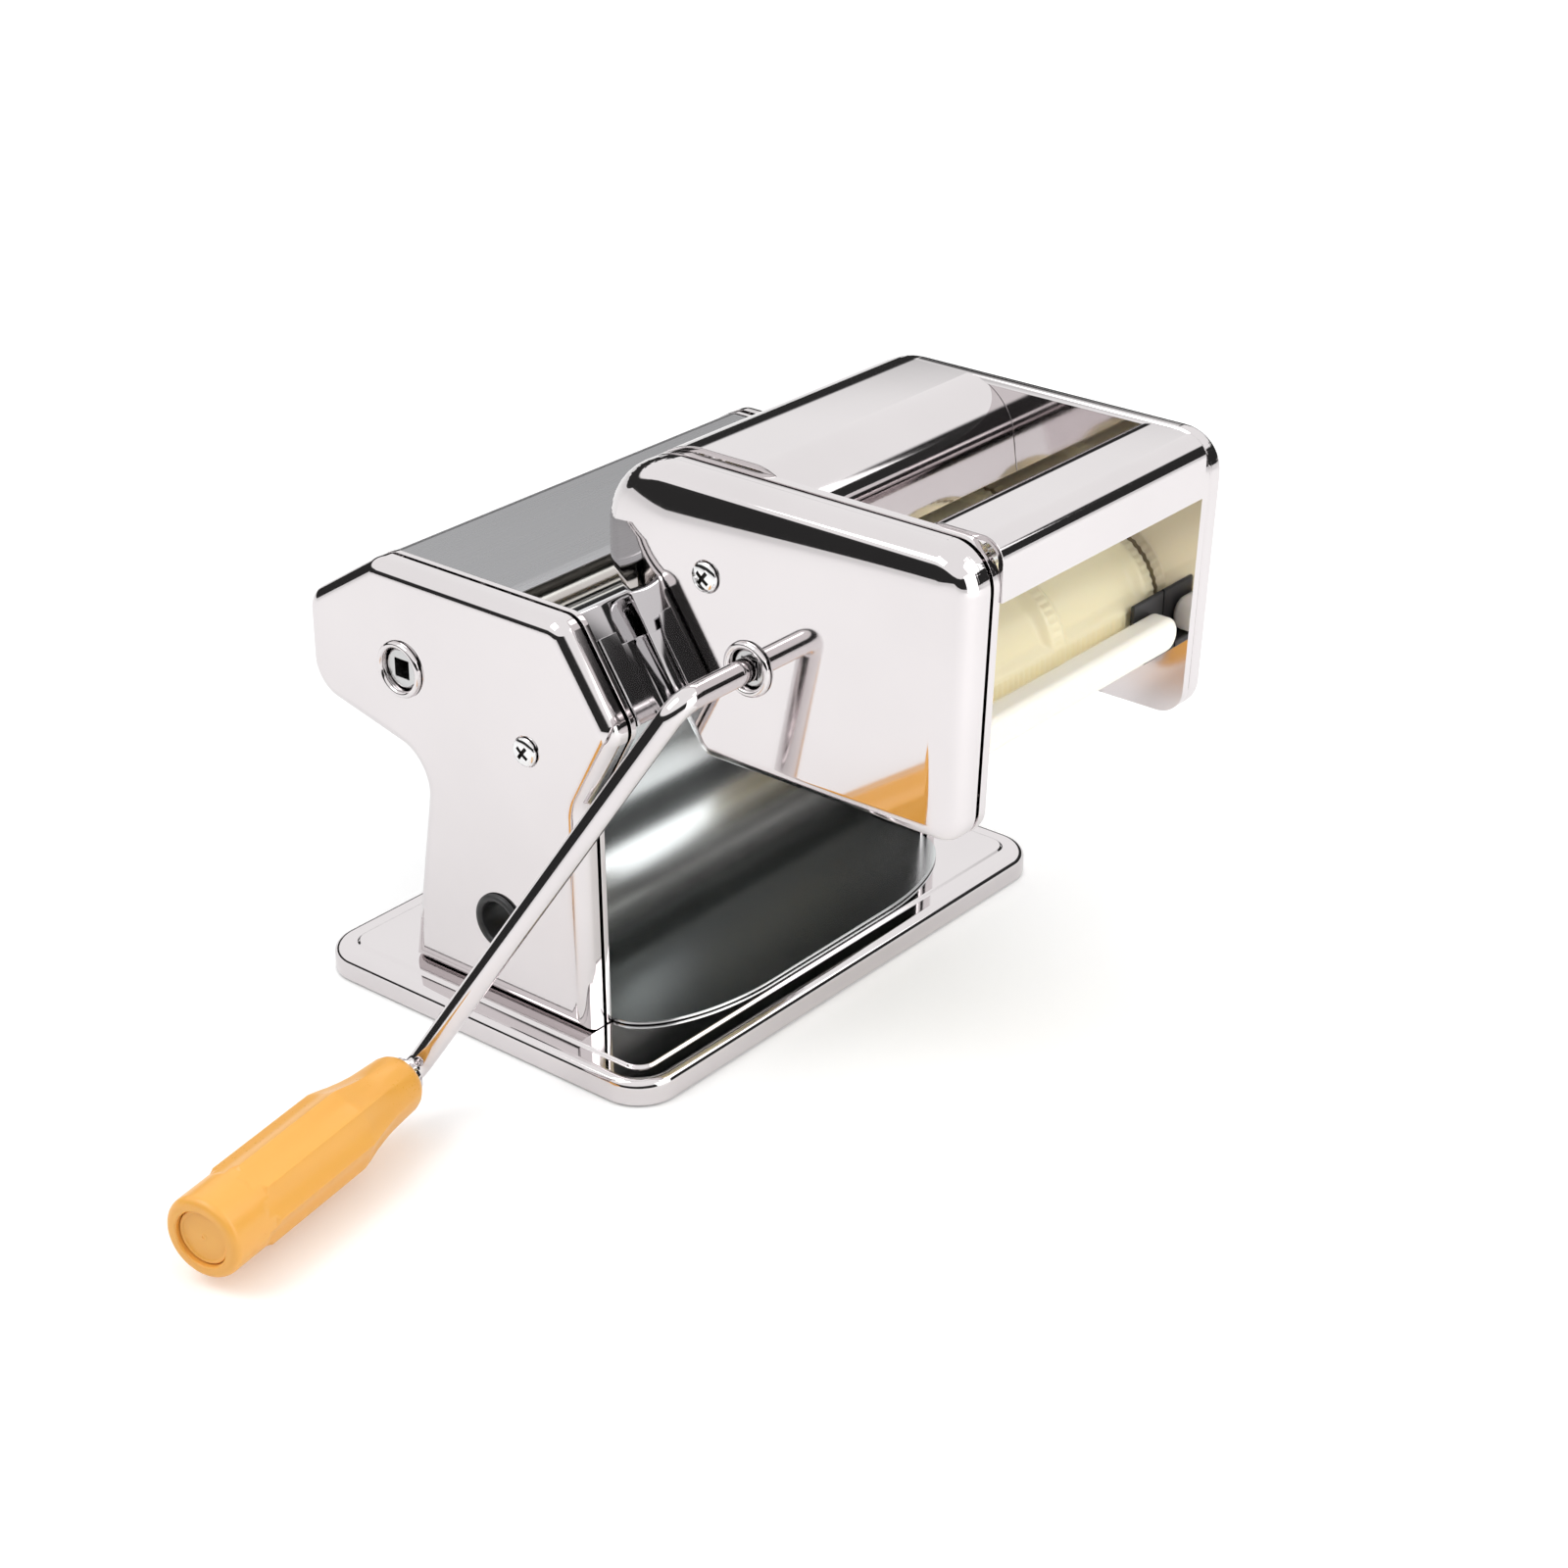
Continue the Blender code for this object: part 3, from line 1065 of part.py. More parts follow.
def build_ravioli_drive():
    build_ravioli_roller("drive_ravioli_roller", DRIVE, 1)
    build_ravioli_roller("driven_ravioli_roller", DRIVEN, -1)
    gear_x0 = COVER_RIM_X + RAVIOLI_GEAR_SEAT
    gear_x1 = gear_x0 + RAVIOLI_GEAR_WIDTH
    far_end = gear_x1 + END_PROUD
    hub_end = HEAD_INNER_X - 2 * GAP
    mouth = -(COVER_FACE_X - SOCKET_RECESS)
    bm = bmesh.new()
    turned(bm, [(mouth, 0), (mouth, RAVIOLI_HUB), (-hub_end, RAVIOLI_HUB), (-hub_end, RAVIOLI_SHAFT),
                (far_end, RAVIOLI_SHAFT), (far_end, 0)], at(*DRIVE))
    socket_cut(node("drive_shaft", bm, chrome()), DRIVE, mouth, SOCKET_DEPTH)
    bm = bmesh.new()
    near_end = HEAD_PLATE_X + END_PROUD
    profile = [(-near_end, 0), (-near_end, RAVIOLI_SHAFT), (far_end, RAVIOLI_SHAFT), (far_end, 0)]
    turned(bm, profile, at(*DRIVEN))
    node("driven_shaft", bm, turned_steel())
    phase = meshing_phase(0.0, math.pi, RAVIOLI_TEETH)
    for name, centre, turn in (("drive_gear", DRIVE, 0.0), ("driven_gear", DRIVEN, phase)):
        gear_node(name, centre, RAVIOLI_SPACING, RAVIOLI_TEETH, gear_x0, gear_x1, turn, RAVIOLI_SHAFT + GAP,
                  cream_plastic())


# Crank and its grip
def crank_points():
    start = Vector((-(COVER_FACE_X + 2 * GAP), *DRIVE))
    first = Vector((-(COVER_FACE_X + CRANK_OUT), *DRIVE))
    arm = Vector((-CRANK_SPREAD, CRANK_RADIUS * math.sin(CRANK_ANGLE), -CRANK_RADIUS * math.cos(CRANK_ANGLE)))
    second = first + arm
    along = Vector((-math.cos(GRIP_TILT), -math.sin(GRIP_TILT), 0))
    return start, first, second, along


def bend(before, corner, after, radius, steps=6):
    """The points of a round bend between two straight runs in space."""
    to_before, to_after = (before - corner).normalized(), (after - corner).normalized()
    half = to_before.angle(to_after) / 2
    centre = corner + (to_before + to_after).normalized() * radius / math.sin(half)
    start = (corner + to_before * radius / math.tan(half) - centre).normalized()
    end = (corner + to_after * radius / math.tan(half) - centre).normalized()
    return [centre + start.slerp(end, step / steps) * radius for step in range(steps + 1)]


def build_crank():
    start, first, second, along = crank_points()
    end = second + along * (GRIP_START + GRIP_BORE_DEPTH - GRIP_ROD_SHORT)
    path = [start] + bend(start, first, second, CRANK_BEND) + bend(first, second, end, CRANK_KNEE) + [end]
    curve = bpy.data.curves.new("crank_rod", "CURVE")
    curve.dimensions = "3D"
    curve.bevel_depth = CRANK_ROD
    curve.bevel_resolution = 3
    curve.use_fill_caps = True
    spline = curve.splines.new("POLY")
    spline.points.add(len(path) - 1)
    for point, place in zip(spline.points, path):
        point.co = (*place, 1)
    bent = bpy.data.objects.new("crank_path", curve)
    bpy.context.collection.objects.link(bent)
    mesh = bpy.data.meshes.new_from_object(bent)
    bpy.data.objects.remove(bent, do_unlink=True)
    bm = bmesh.new()
    bm.from_mesh(mesh)
    bmesh.ops.remove_doubles(bm, verts=bm.verts, dist=0.00001)
    rod = node("crank_rod", bm, chrome())
    square = bmesh.new()
    half = SOCKET_SIDE / 2 - GAP
    tip = SOCKET_DEPTH - COVER_FACE_X + SOCKET_RECESS - SOCKET_FLOOR
    corner = Vector((0, half, half))
    axis = Vector((0, *DRIVE))
    box(square, axis - corner + Vector((start.x - 3 * OVERRUN, 0, 0)), axis + corner + Vector((tip, 0, 0)))
    boolean(rod, square, "UNION")

    grip_frame = Matrix.Translation(second + along * GRIP_START) @ Matrix.Rotation(math.pi + GRIP_TILT, 4, "Z")
    bm = bmesh.new()
    inner = CRANK_ROD + GAP
    outer = inner + COLLAR_WALL
    x0, x1 = -(GAP + COLLAR_LENGTH), -GAP
    turned(bm, [(x0, inner), (x0, outer), (x1, outer), (x1, inner)], grip_frame, sides=16, closed=True)
    node("crank_collar", bm, chrome())
    build_grip(grip_frame)


def grip_profile():
    bore = CRANK_ROD + RUN
    end, seat = GRIP_LENGTH, GRIP_LENGTH - PLUG_SEAT_DEPTH
    fat, band = GRIP_RADIUS, GRIP_RADIUS - GRIP_BAND_STEP
    return [(GRIP_BORE_DEPTH, 0), (GRIP_BORE_DEPTH, bore), (0, bore), (0, GRIP_NECK * 0.62),
            (GRIP_LIP, GRIP_NECK * 0.88), (GRIP_SHOULDER, GRIP_NECK),
            (GRIP_NECK_END, GRIP_NECK + GRIP_NECK_SWELL), (GRIP_FLARE, fat - GRIP_FLARE_SHORT),
            (GRIP_BELLY, fat), (end - GRIP_BAND, fat),
            (end - GRIP_BAND + GRIP_BAND_SLOPE, band), (end - GRIP_END_ROUND, band),
            (end, fat - GRIP_END_DROP), (end, PLUG_SEAT_RADIUS), (seat, PLUG_SEAT_RADIUS), (seat, 0)]


def build_grip(frame):
    bm = bmesh.new()
    per_flute = 3
    sides = GRIP_FLUTES * per_flute
    turned(bm, grip_profile(), Matrix.Identity(4), sides=sides)
    for vert in bm.verts:
        radius = math.hypot(vert.co.y, vert.co.z)
        ridge = round(math.atan2(vert.co.z, vert.co.y) / (2 * math.pi) * sides) % per_flute == 0
        fluted = GRIP_BELLY - GAP < vert.co.x < GRIP_LENGTH - GRIP_BAND + GAP and radius > GRIP_NECK
        if fluted and not ridge:
            vert.co.yz = vert.co.yz * (radius - GRIP_FLUTE_DEPTH) / radius
    bmesh.ops.transform(bm, matrix=frame, verts=bm.verts)
    node("grip", bm, orange_plastic())
    bm = bmesh.new()
    low = GRIP_LENGTH - PLUG_SEAT_DEPTH + GAP
    high, rim = low + PLUG_THICK, PLUG_SEAT_RADIUS - GAP
    turned(bm, [(low, 0), (low, rim), (high, rim), (high, 0)], frame, sides=24)
    node("grip_end_plug", bm, orange_plastic())


build_base()
build_casing(NEAR, "near_casing")
build_casing(FAR, "far_casing")
build_frame_plate(NEAR, "near_frame_plate")
build_frame_plate(FAR, "far_frame_plate")
build_screws(ROD_FRONT, CASING_FACE_X, INNER_X, ((NEAR, "near_casing_screw"), (FAR, "far_casing_screw")))
build_tie_rod("screw_tie_rod", ROD_FRONT, INNER_X, PLATE_X, ROD_RADIUS, 0)
build_tie_rod("back_tie_rod", ROD_BACK, INNER_X, PLATE_X, ROD_RADIUS, TENON_RADIUS)
build_tie_rod("low_tie_rod", ROD_LOW, INNER_X, PLATE_X, ROD_RADIUS, TENON_RADIUS)
build_side_rings()
build_sheets()
build_front_panel()
build_guide_rails()
build_scrapers()
build_smooth_rollers()
build_bearing_blocks()
build_dial()
build_head_covers()
build_head_plates()
HEAD_SCREW_ROD, HEAD_LOW_ROD, HEAD_FRONT_ROD = head_rods()
build_screws(HEAD_SCREW_ROD, COVER_FACE_X, HEAD_INNER_X, ((NEAR, "head_near_screw"), (FAR, "head_far_screw")))
build_tie_rod("head_screw_rod", HEAD_SCREW_ROD, HEAD_INNER_X, HEAD_PLATE_X, HEAD_ROD, 0)
build_tie_rod("head_low_rod", HEAD_LOW_ROD, HEAD_INNER_X, HEAD_PLATE_X, HEAD_ROD, TENON_RADIUS)
build_tie_rod("head_front_rod", HEAD_FRONT_ROD, HEAD_INNER_X, HEAD_PLATE_X, HEAD_ROD, TENON_RADIUS)
build_head_ring()
build_head_hoods()
build_exit_bar()
build_stripper()
build_hook_tabs()
build_ravioli_drive()
build_crank()
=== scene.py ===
import math

import bmesh
import bpy
from mathutils import Matrix, Vector


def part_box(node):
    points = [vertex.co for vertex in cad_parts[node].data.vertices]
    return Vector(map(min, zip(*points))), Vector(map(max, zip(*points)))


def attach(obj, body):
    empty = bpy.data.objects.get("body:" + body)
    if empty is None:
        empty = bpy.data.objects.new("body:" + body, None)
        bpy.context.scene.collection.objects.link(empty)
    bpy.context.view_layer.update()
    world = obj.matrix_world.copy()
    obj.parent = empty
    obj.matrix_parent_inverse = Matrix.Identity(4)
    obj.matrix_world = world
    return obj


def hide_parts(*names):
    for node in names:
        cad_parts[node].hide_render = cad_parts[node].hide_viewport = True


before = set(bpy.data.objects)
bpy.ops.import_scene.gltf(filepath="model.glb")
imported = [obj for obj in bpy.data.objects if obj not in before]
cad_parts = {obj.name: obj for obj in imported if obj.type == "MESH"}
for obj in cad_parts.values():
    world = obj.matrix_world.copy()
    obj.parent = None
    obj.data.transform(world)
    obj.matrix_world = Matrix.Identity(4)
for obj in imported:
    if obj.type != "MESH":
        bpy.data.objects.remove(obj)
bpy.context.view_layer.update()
MM = 0.001
scene = bpy.context.scene


# The viewpoint: a camera above the crank side's front corner, looking down on the machine.
# Its long lens keeps the perspective gentle.
view_place = Vector((-674.3, -592.8, 500.7)) * MM
view_turn, view_tilt = math.radians(50.7), math.radians(26.7)
camera = bpy.data.objects.new("camera", bpy.data.cameras.new("camera"))
camera.data.sensor_width = 36
camera.data.lens = 70.4
camera.location = view_place
camera.rotation_euler = (math.pi / 2 - view_tilt, 0, -view_turn)
scene.collection.objects.link(camera)
scene.camera = camera
scene.view_settings.view_transform = "Standard"


# The studio: a pale floor that runs out of sight, a white tent with a dark skirt low down,
# which draws the edges of polished steel, and three soft lamps.
class Signal:
    """A value on its way through a material. Sums and products of values add Math nodes."""

    def __init__(self, tree, socket=None):
        self.tree = tree
        self.socket = socket

    def node(self, kind, settings=None, sockets=None, out=0):
        """Adds a node: its settings first, then its sockets' values or links; gives one output."""
        made = self.tree.nodes.new(kind)
        for name, value in (settings or {}).items():
            setattr(made, name, value)
        for name, value in (sockets or {}).items():
            if isinstance(value, Signal):
                self.tree.links.new(value.socket, made.inputs[name])
            else:
                made.inputs[name].default_value = value
        return Signal(self.tree, made.outputs[out])

    def maths(self, operation, first, second=0.0):
        return self.node("ShaderNodeMath", {"operation": operation}, {0: first, 1: second})

    def feed(self, shader, name):
        self.tree.links.new(self.socket, shader.inputs[name])

    def __add__(self, other):
        return self.maths("ADD", self, other)

    def __radd__(self, other):
        return self.maths("ADD", other, self)

    def __sub__(self, other):
        return self.maths("SUBTRACT", self, other)

    def __rsub__(self, other):
        return self.maths("SUBTRACT", other, self)

    def __mul__(self, other):
        return self.maths("MULTIPLY", self, other)

    def __rmul__(self, other):
        return self.maths("MULTIPLY", other, self)

    def __truediv__(self, other):
        return self.maths("DIVIDE", self, other)

    def __rtruediv__(self, other):
        return self.maths("DIVIDE", other, self)

    def at_least(self, low):
        return self.maths("MAXIMUM", self, low)

    def at_most(self, high):
        return self.maths("MINIMUM", self, high)

    def step(self, low, high, first=0.0, last=1.0):
        """Goes smoothly from first to last as the value goes from low to high."""
        return self.node("ShaderNodeMapRange", {"interpolation_type": "SMOOTHSTEP"},
                         {"Value": self, "From Min": low, "From Max": high, "To Min": first,
                          "To Max": last})

    def part(self, axis):
        """One component of a vector."""
        return self.node("ShaderNodeSeparateXYZ", None, {0: self}, out=axis)

    def noise(self, scale, detail=3.0):
        return self.node("ShaderNodeTexNoise", None, {"Vector": self, "Scale": scale, "Detail": detail})

    def stretch(self, x, y, z):
        """The coordinates with a scale on each axis."""
        return self.node("ShaderNodeMapping", None, {"Vector": self, "Scale": (x, y, z)})

    def tint(self, low, high):
        """A colour between two, by this value from 0 to 1."""
        return self.node("ShaderNodeMix", {"data_type": "RGBA"},
                         {"Factor": self, 6: (*low, 1), 7: (*high, 1)}, out=2)

    def relief(self, depth=1.0):
        """A surface normal from heights in millimetres times depth."""
        return self.node("ShaderNodeBump", None, {"Height": self * depth, "Distance": MM})


def new_finish(name, roughness, metallic):
    """A material, its shader and its Object coordinates."""
    material = bpy.data.materials.new(name)
    material.use_nodes = True
    shader = material.node_tree.nodes["Principled BSDF"]
    shader.inputs["Roughness"].default_value = roughness
    shader.inputs["Metallic"].default_value = metallic
    place = Signal(material.node_tree).node("ShaderNodeTexCoord", out="Object")
    return material, shader, place


floor_half, floor_drop, floor_glow = 30.0, 0.05 * MM, 0.15
floor_bm = bmesh.new()
bmesh.ops.create_grid(floor_bm, x_segments=6, y_segments=6, size=floor_half)
bmesh.ops.translate(floor_bm, verts=floor_bm.verts, vec=(0, 0, -floor_drop))
floor_mesh = bpy.data.meshes.new("floor")
floor_bm.to_mesh(floor_mesh)
floor_bm.free()
floor = bpy.data.objects.new("floor", floor_mesh)
scene.collection.objects.link(floor)
floor_paint, floor_shader, floor_place = new_finish("floor_paint", 0.7, 0.0)
floor_place.noise(2.0).tint((0.93, 0.93, 0.93), (0.95, 0.95, 0.95)).feed(floor_shader, "Base Color")
seen = [floor_place.node("ShaderNodeLightPath", out=ray) for ray in ("Is Camera Ray", "Is Transmission Ray")]
(sum(seen) * floor_glow).feed(floor_shader, "Emission Color")
floor_shader.inputs["Emission Strength"].default_value = 1.0
underside = floor_place.node("ShaderNodeNewGeometry", out="Backfacing")
floor_top = Signal(floor_paint.node_tree, floor_shader.outputs[0])
floor_clear = floor_place.node("ShaderNodeBsdfTransparent")
floor_sides = floor_place.node("ShaderNodeMixShader", None, {0: underside, 1: floor_top, 2: floor_clear})
floor_sides.feed(floor_paint.node_tree.nodes["Material Output"], "Surface")
floor_mesh.materials.append(floor_paint)

tent_light, skirt_light = 1.05, 0.03
skirt_low, skirt_high = 0.35, 0.41      # heights where the skirt ends and the tent begins
skirt_lean = 0.12                       # how much lower the skirt is at the back
below_floor = -0.02                     # the height under which all is white
tent = bpy.data.worlds.new("tent")
scene.world = tent
tent.use_nodes = True
sight = Signal(tent.node_tree).node("ShaderNodeTexCoord", out="Generated")
lift = sight.part(2)
leaned = lift + sight.part(1) * skirt_lean
tent_share = leaned.step(skirt_low, skirt_high) + lift.step(0.0, below_floor)
tent_glow = skirt_light + tent_share * (tent_light - skirt_light)
backdrop = sight.node("ShaderNodeLightPath", out="Is Camera Ray")
background = tent.node_tree.nodes["Background"]
tent_glow.at_least(backdrop).feed(background, "Strength")
background.inputs["Color"].default_value = (1.0, 1.0, 1.0, 1)

for lamp_name, lamp_place, lamp_size, lamp_power in (
        ("key_lamp", (-0.9, 0.5, 1.5), 0.9, 8.0),
        ("fill_lamp", (0.9, -1.3, 1.3), 1.1, 6.0),
        ("front_lamp", (0.15, -1.15, 0.42), 0.8, 4.0)):
    lamp = bpy.data.objects.new(lamp_name, bpy.data.lights.new(lamp_name, "AREA"))
    lamp.data.size = lamp_size
    lamp.data.energy = lamp_power
    lamp.location = lamp_place
    lamp.rotation_euler = (-Vector(lamp_place)).to_track_quat("-Z", "Y").to_euler()
    scene.collection.objects.link(lamp)


# Base plate: a shallow tray pressed from stainless sheet and polished, with a rolled rim,
# a step and a raised bed. The frame plates' lugs pass through four slots in the bed.
def box_of(node):
    """A CAD node's lowest and highest corner, in millimetres."""
    low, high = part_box(node)
    return low / MM, high / MM


def rounded_face(corners, place, steps=12):
    """A flat face through (a, b, radius) corners, each put in space by place and rounded."""
    bm = bmesh.new()
    points = [bm.verts.new(place(a, b)) for a, b, radius in corners]
    bm.faces.new(points)
    for point, (a, b, radius) in zip(points, corners):
        if radius:
            one, other = [edge.other_vert(point).co - point.co for edge in point.link_edges]
            reach = radius / math.tan(one.angle(other) / 2)
            bmesh.ops.bevel(bm, geom=[point], offset=reach, offset_type="OFFSET", affect="VERTICES",
                            segments=steps, profile=0.5, material=-1)
    return bm


def new_points(made):
    """The points among the geometry that an operator made."""
    return [item for item in made if isinstance(item, bmesh.types.BMVert)]


def press(bm, skirt, fillet, steps=8):
    """Draws a flat face into a tray: a skirt all round, and a round where it meets the face."""
    edges = list(bm.edges)
    rim = new_points(bmesh.ops.extrude_edge_only(bm, edges=edges)["geom"])
    bmesh.ops.translate(bm, verts=rim, vec=skirt)
    bmesh.ops.bevel(bm, geom=edges, offset=fillet, offset_type="OFFSET", segments=steps, profile=0.5,
                    affect="EDGES", material=-1)
    bmesh.ops.recalc_face_normals(bm, faces=bm.faces)
    flat = max(bm.faces, key=lambda face: face.calc_area())
    if flat.normal.dot(skirt) > 0:
        bmesh.ops.reverse_faces(bm, faces=bm.faces)
    return flat


def shape(name, bm, finish):
    """A piece from a bmesh in millimetres."""
    bmesh.ops.scale(bm, vec=(MM, MM, MM), verts=bm.verts)
    mesh = bpy.data.meshes.new(name)
    bm.to_mesh(mesh)
    bm.free()
    mesh.materials.append(finish)
    piece = bpy.data.objects.new(name, mesh)
    scene.collection.objects.link(piece)
    return piece


def settle(piece):
    """Applies a piece's modifiers to its mesh."""
    graph = bpy.context.evaluated_depsgraph_get()
    mesh = bpy.data.meshes.new_from_object(piece.evaluated_get(graph), depsgraph=graph)
    piece.modifiers.clear()
    rough = piece.data
    piece.data = mesh
    mesh.name = piece.name
    bpy.data.meshes.remove(rough)


def thicken(piece, wall):
    """Gives a sheet its wall, on the side away from its faces."""
    solid = piece.modifiers.new("wall", "SOLIDIFY")
    solid.thickness = wall * MM
    solid.offset = -1
    solid.use_even_offset = True
    settle(piece)


seam_join = 0.005                       # points closer than this are one after a cut


def cut(piece, tool, operation="DIFFERENCE", inside=None):
    """Takes a closed bmesh, in millimetres, out of a piece, or joins it on, and closes the seam."""
    bmesh.ops.recalc_face_normals(tool, faces=tool.faces)
    cutter = shape("cutter", tool, inside or piece.data.materials[0])
    boolean = piece.modifiers.new("cut", "BOOLEAN")
    boolean.object = cutter
    boolean.operation = operation
    boolean.solver = "EXACT"
    boolean.material_mode = "TRANSFER"
    settle(piece)
    bpy.data.objects.remove(cutter)
    joined = bmesh.new()
    joined.from_mesh(piece.data)
    bmesh.ops.remove_doubles(joined, verts=joined.verts, dist=seam_join * MM)
    bmesh.ops.dissolve_degenerate(joined, edges=joined.edges, dist=seam_join * MM)
    joined.to_mesh(piece.data)
    joined.free()


def soften(piece, width=0.25, segments=2, keep=math.radians(38)):
    """Breaks a piece's sharp edges, and shades it so that flat faces stay flat."""
    if width:
        broken = piece.modifiers.new("edge", "BEVEL")
        broken.width = width * MM
        broken.segments = segments
        broken.limit_method = "ANGLE"
        broken.angle_limit = keep
        settle(piece)
    piece.data.shade_smooth()
    piece.data.set_sharp_from_angle(angle=keep)
    weighted = piece.modifiers.new("shade", "WEIGHTED_NORMAL")
    weighted.keep_sharp = True
    settle(piece)


def block(bm, one, other):
    """A box between two opposite corners."""
    one, other = Vector(one), Vector(other)
    size = Matrix.Diagonal([abs(reach) for reach in other - one] + [1])
    bmesh.ops.create_cube(bm, size=1, matrix=Matrix.Translation((one + other) / 2) @ size)


def polished_steel(name, light=(0.76, 0.725, 0.73), dark=(0.70, 0.665, 0.67), wave=0.03, blur=0.02):
    """Mirror-polished sheet: a little waviness, hairline marks and the haze of wiping."""
    material, shader, place = new_finish(name, 0.05, 1.0)
    haze = place.noise(22.0)
    hair = place.stretch(40, 900, 900).noise(1.0, 2.0) + place.stretch(900, 60, 700).noise(1.0, 2.0)
    haze.tint(dark, light).feed(shader, "Base Color")
    (blur + haze * 0.05 + hair * 0.012).feed(shader, "Roughness")
    (place.noise(16.0, 1.0) * wave + hair * 0.0006).relief().feed(shader, "Normal")
    return material


fit_gap = 0.3                           # between one piece and what it stands in or on
base_round, base_corner, base_wall = 3.2, 14.0, 1.2
base_rim, base_slope, base_step = 7.5, 0.8, 1.0
base_low, base_high = box_of("base_plate")
rim_top = base_high.z - base_step
base_steel = polished_steel("base_steel")
quarters = ((1, 1), (-1, 1), (-1, -1), (1, -1))
base_bm = rounded_face([(base_high.x * x, base_high.y * y, base_corner) for x, y in quarters],
                       lambda x, y: (x, y, rim_top))
bed = press(base_bm, Vector((0, 0, base_low.z - rim_top)), base_round)
bmesh.ops.inset_region(base_bm, faces=[bed], thickness=base_rim - base_round, use_even_offset=True)
bmesh.ops.inset_region(base_bm, faces=[bed], thickness=base_slope, depth=base_step, use_even_offset=True)
base_plate = shape("base_tray", base_bm, base_steel)
thicken(base_plate, base_wall)
lug_half, lug_rows = 7.0, (-20.0, 20.0)
plate_in, plate_out = 79.0, 81.2
slot_half, slot_reach = lug_half + fit_gap, 3.0
slots = bmesh.new()
for side in (-1, 1):
    for row in lug_rows:
        block(slots, (side * (plate_in - fit_gap), row - slot_half, rim_top - slot_reach),
              (side * (plate_out + fit_gap), row + slot_half, rim_top + slot_reach))
cut(base_plate, slots)
soften(base_plate)
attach(base_plate, "machine")
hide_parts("base_plate")


# Rubber foot: black moulded rubber under the base, two ribbed runners joined by a web.
# It is glued into the tray and keeps the machine from sliding.
def draw_out(bm, faces, way):
    """Makes flat faces into a closed solid along a vector."""
    grown = bmesh.ops.extrude_face_region(bm, geom=faces)["geom"]
    bmesh.ops.translate(bm, verts=new_points(grown), vec=way)
    bmesh.ops.recalc_face_normals(bm, faces=bm.faces)


def moulded_rubber():
    material, shader, place = new_finish("moulded_rubber", 0.85, 0.0)
    speckle = place.noise(900.0, 2.0)
    speckle.tint((0.035, 0.035, 0.036), (0.06, 0.06, 0.06)).feed(shader, "Base Color")
    (0.75 + speckle * 0.15).feed(shader, "Roughness")
    speckle.relief(0.05).feed(shader, "Normal")
    return material


spare = 1.0                             # how far a cutting tool runs past what it cuts
foot_low, foot_high = box_of("rubber_foot")
runner, web, rib_pitch, rib_cut, rib_width, last_rib = 12.0, 17.0, 6.0, 0.8, 1.4, 8
foot_in, foot_corner, runner_corner, web_corner = foot_high.y - runner, 3.0, 1.0, 4.0
foot_quarter = [(foot_high.x, foot_high.y, foot_corner), (foot_high.x, foot_in, runner_corner),
                (web, foot_in, web_corner)]
foot_outline = foot_quarter + [(x, -y, radius) for x, y, radius in reversed(foot_quarter)]
foot_outline += [(-x, -y, radius) for x, y, radius in foot_outline]
foot_bm = rounded_face(foot_outline, lambda x, y: (x, y, foot_low.z), 6)
draw_out(foot_bm, foot_bm.faces[:], (0, 0, foot_high.z - foot_low.z))
foot = shape("foot", foot_bm, moulded_rubber())
grooves = bmesh.new()
for rib in range(-last_rib, last_rib + 1):
    for end in (-1, 1):
        block(grooves, (rib * rib_pitch, end * (foot_in - spare), -spare),
              (rib * rib_pitch + rib_width, end * (foot_high.y + spare), rib_cut))
cut(foot, grooves)
soften(foot, 0.4)
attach(foot, "machine")
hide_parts("rubber_foot")


# Frame plates: 2.2 mm steel plates that carry the shafts and rods. Their lugs pass through
# the base and are bent over under it, and their polished edges show behind the casings.
def centre_of(node):
    """The middle of a CAD node as (y, z), in millimetres."""
    low, high = box_of(node)
    return (low.y + high.y) / 2, (low.z + high.z) / 2


def disc(bm, centre, radius, x0, x1, steps=48, last_radius=None):
    """A closed cylinder, or a cone, along X round (y, z)."""
    side = math.copysign(math.pi / 2, x1 - x0)
    turn = Matrix.Translation(((x0 + x1) / 2, *centre)) @ Matrix.Rotation(side, 4, "Y")
    bmesh.ops.create_cone(bm, cap_ends=True, segments=steps, radius1=radius,
                          radius2=last_radius or radius, depth=abs(x1 - x0), matrix=turn)


def slab(corners, x0, x1, steps=12):
    """A plate along X, from (y, z, radius) corners."""
    bm = rounded_face(corners, lambda y, z: (x0, y, z), steps)
    draw_out(bm, bm.faces[:], (x1 - x0, 0, 0))
    return bm


bed_top, casing_top = base_high.z + fit_gap, box_of("near_casing")[1].z
casing_outline = [(-37.0, bed_top, 0), (-36.2, 86.0, 13), (-51.41, 114.5, 7), (-30.5, casing_top, 7),
                  (47.0, casing_top, 8), (77.5, 126.0, 8), (77.5, 94.5, 13), (27.5, 82.5, 13),
                  (39.2, bed_top, 0)]
bush_hole, hub_hole, clamp_hole, screw_hole, rod_hole, hole_sides = 7.2, 7.0, 8.2, 2.2, 2.8, 24
roller_axis, crank_axis = centre_of("rear_roller"), centre_of("crank_hole_ring")
clamp_axis, casing_screw = centre_of("clamp_socket"), centre_of("near_casing_screw")
slide_front, slide_back, slide_half = -33.85, -12.05, 6.4
lug_foot, lug_toe, lug_wall, lug_draft = 6.9, 86.2, 1.6, 1.0
plate_steel = polished_steel("plate_steel", wave=0.015)
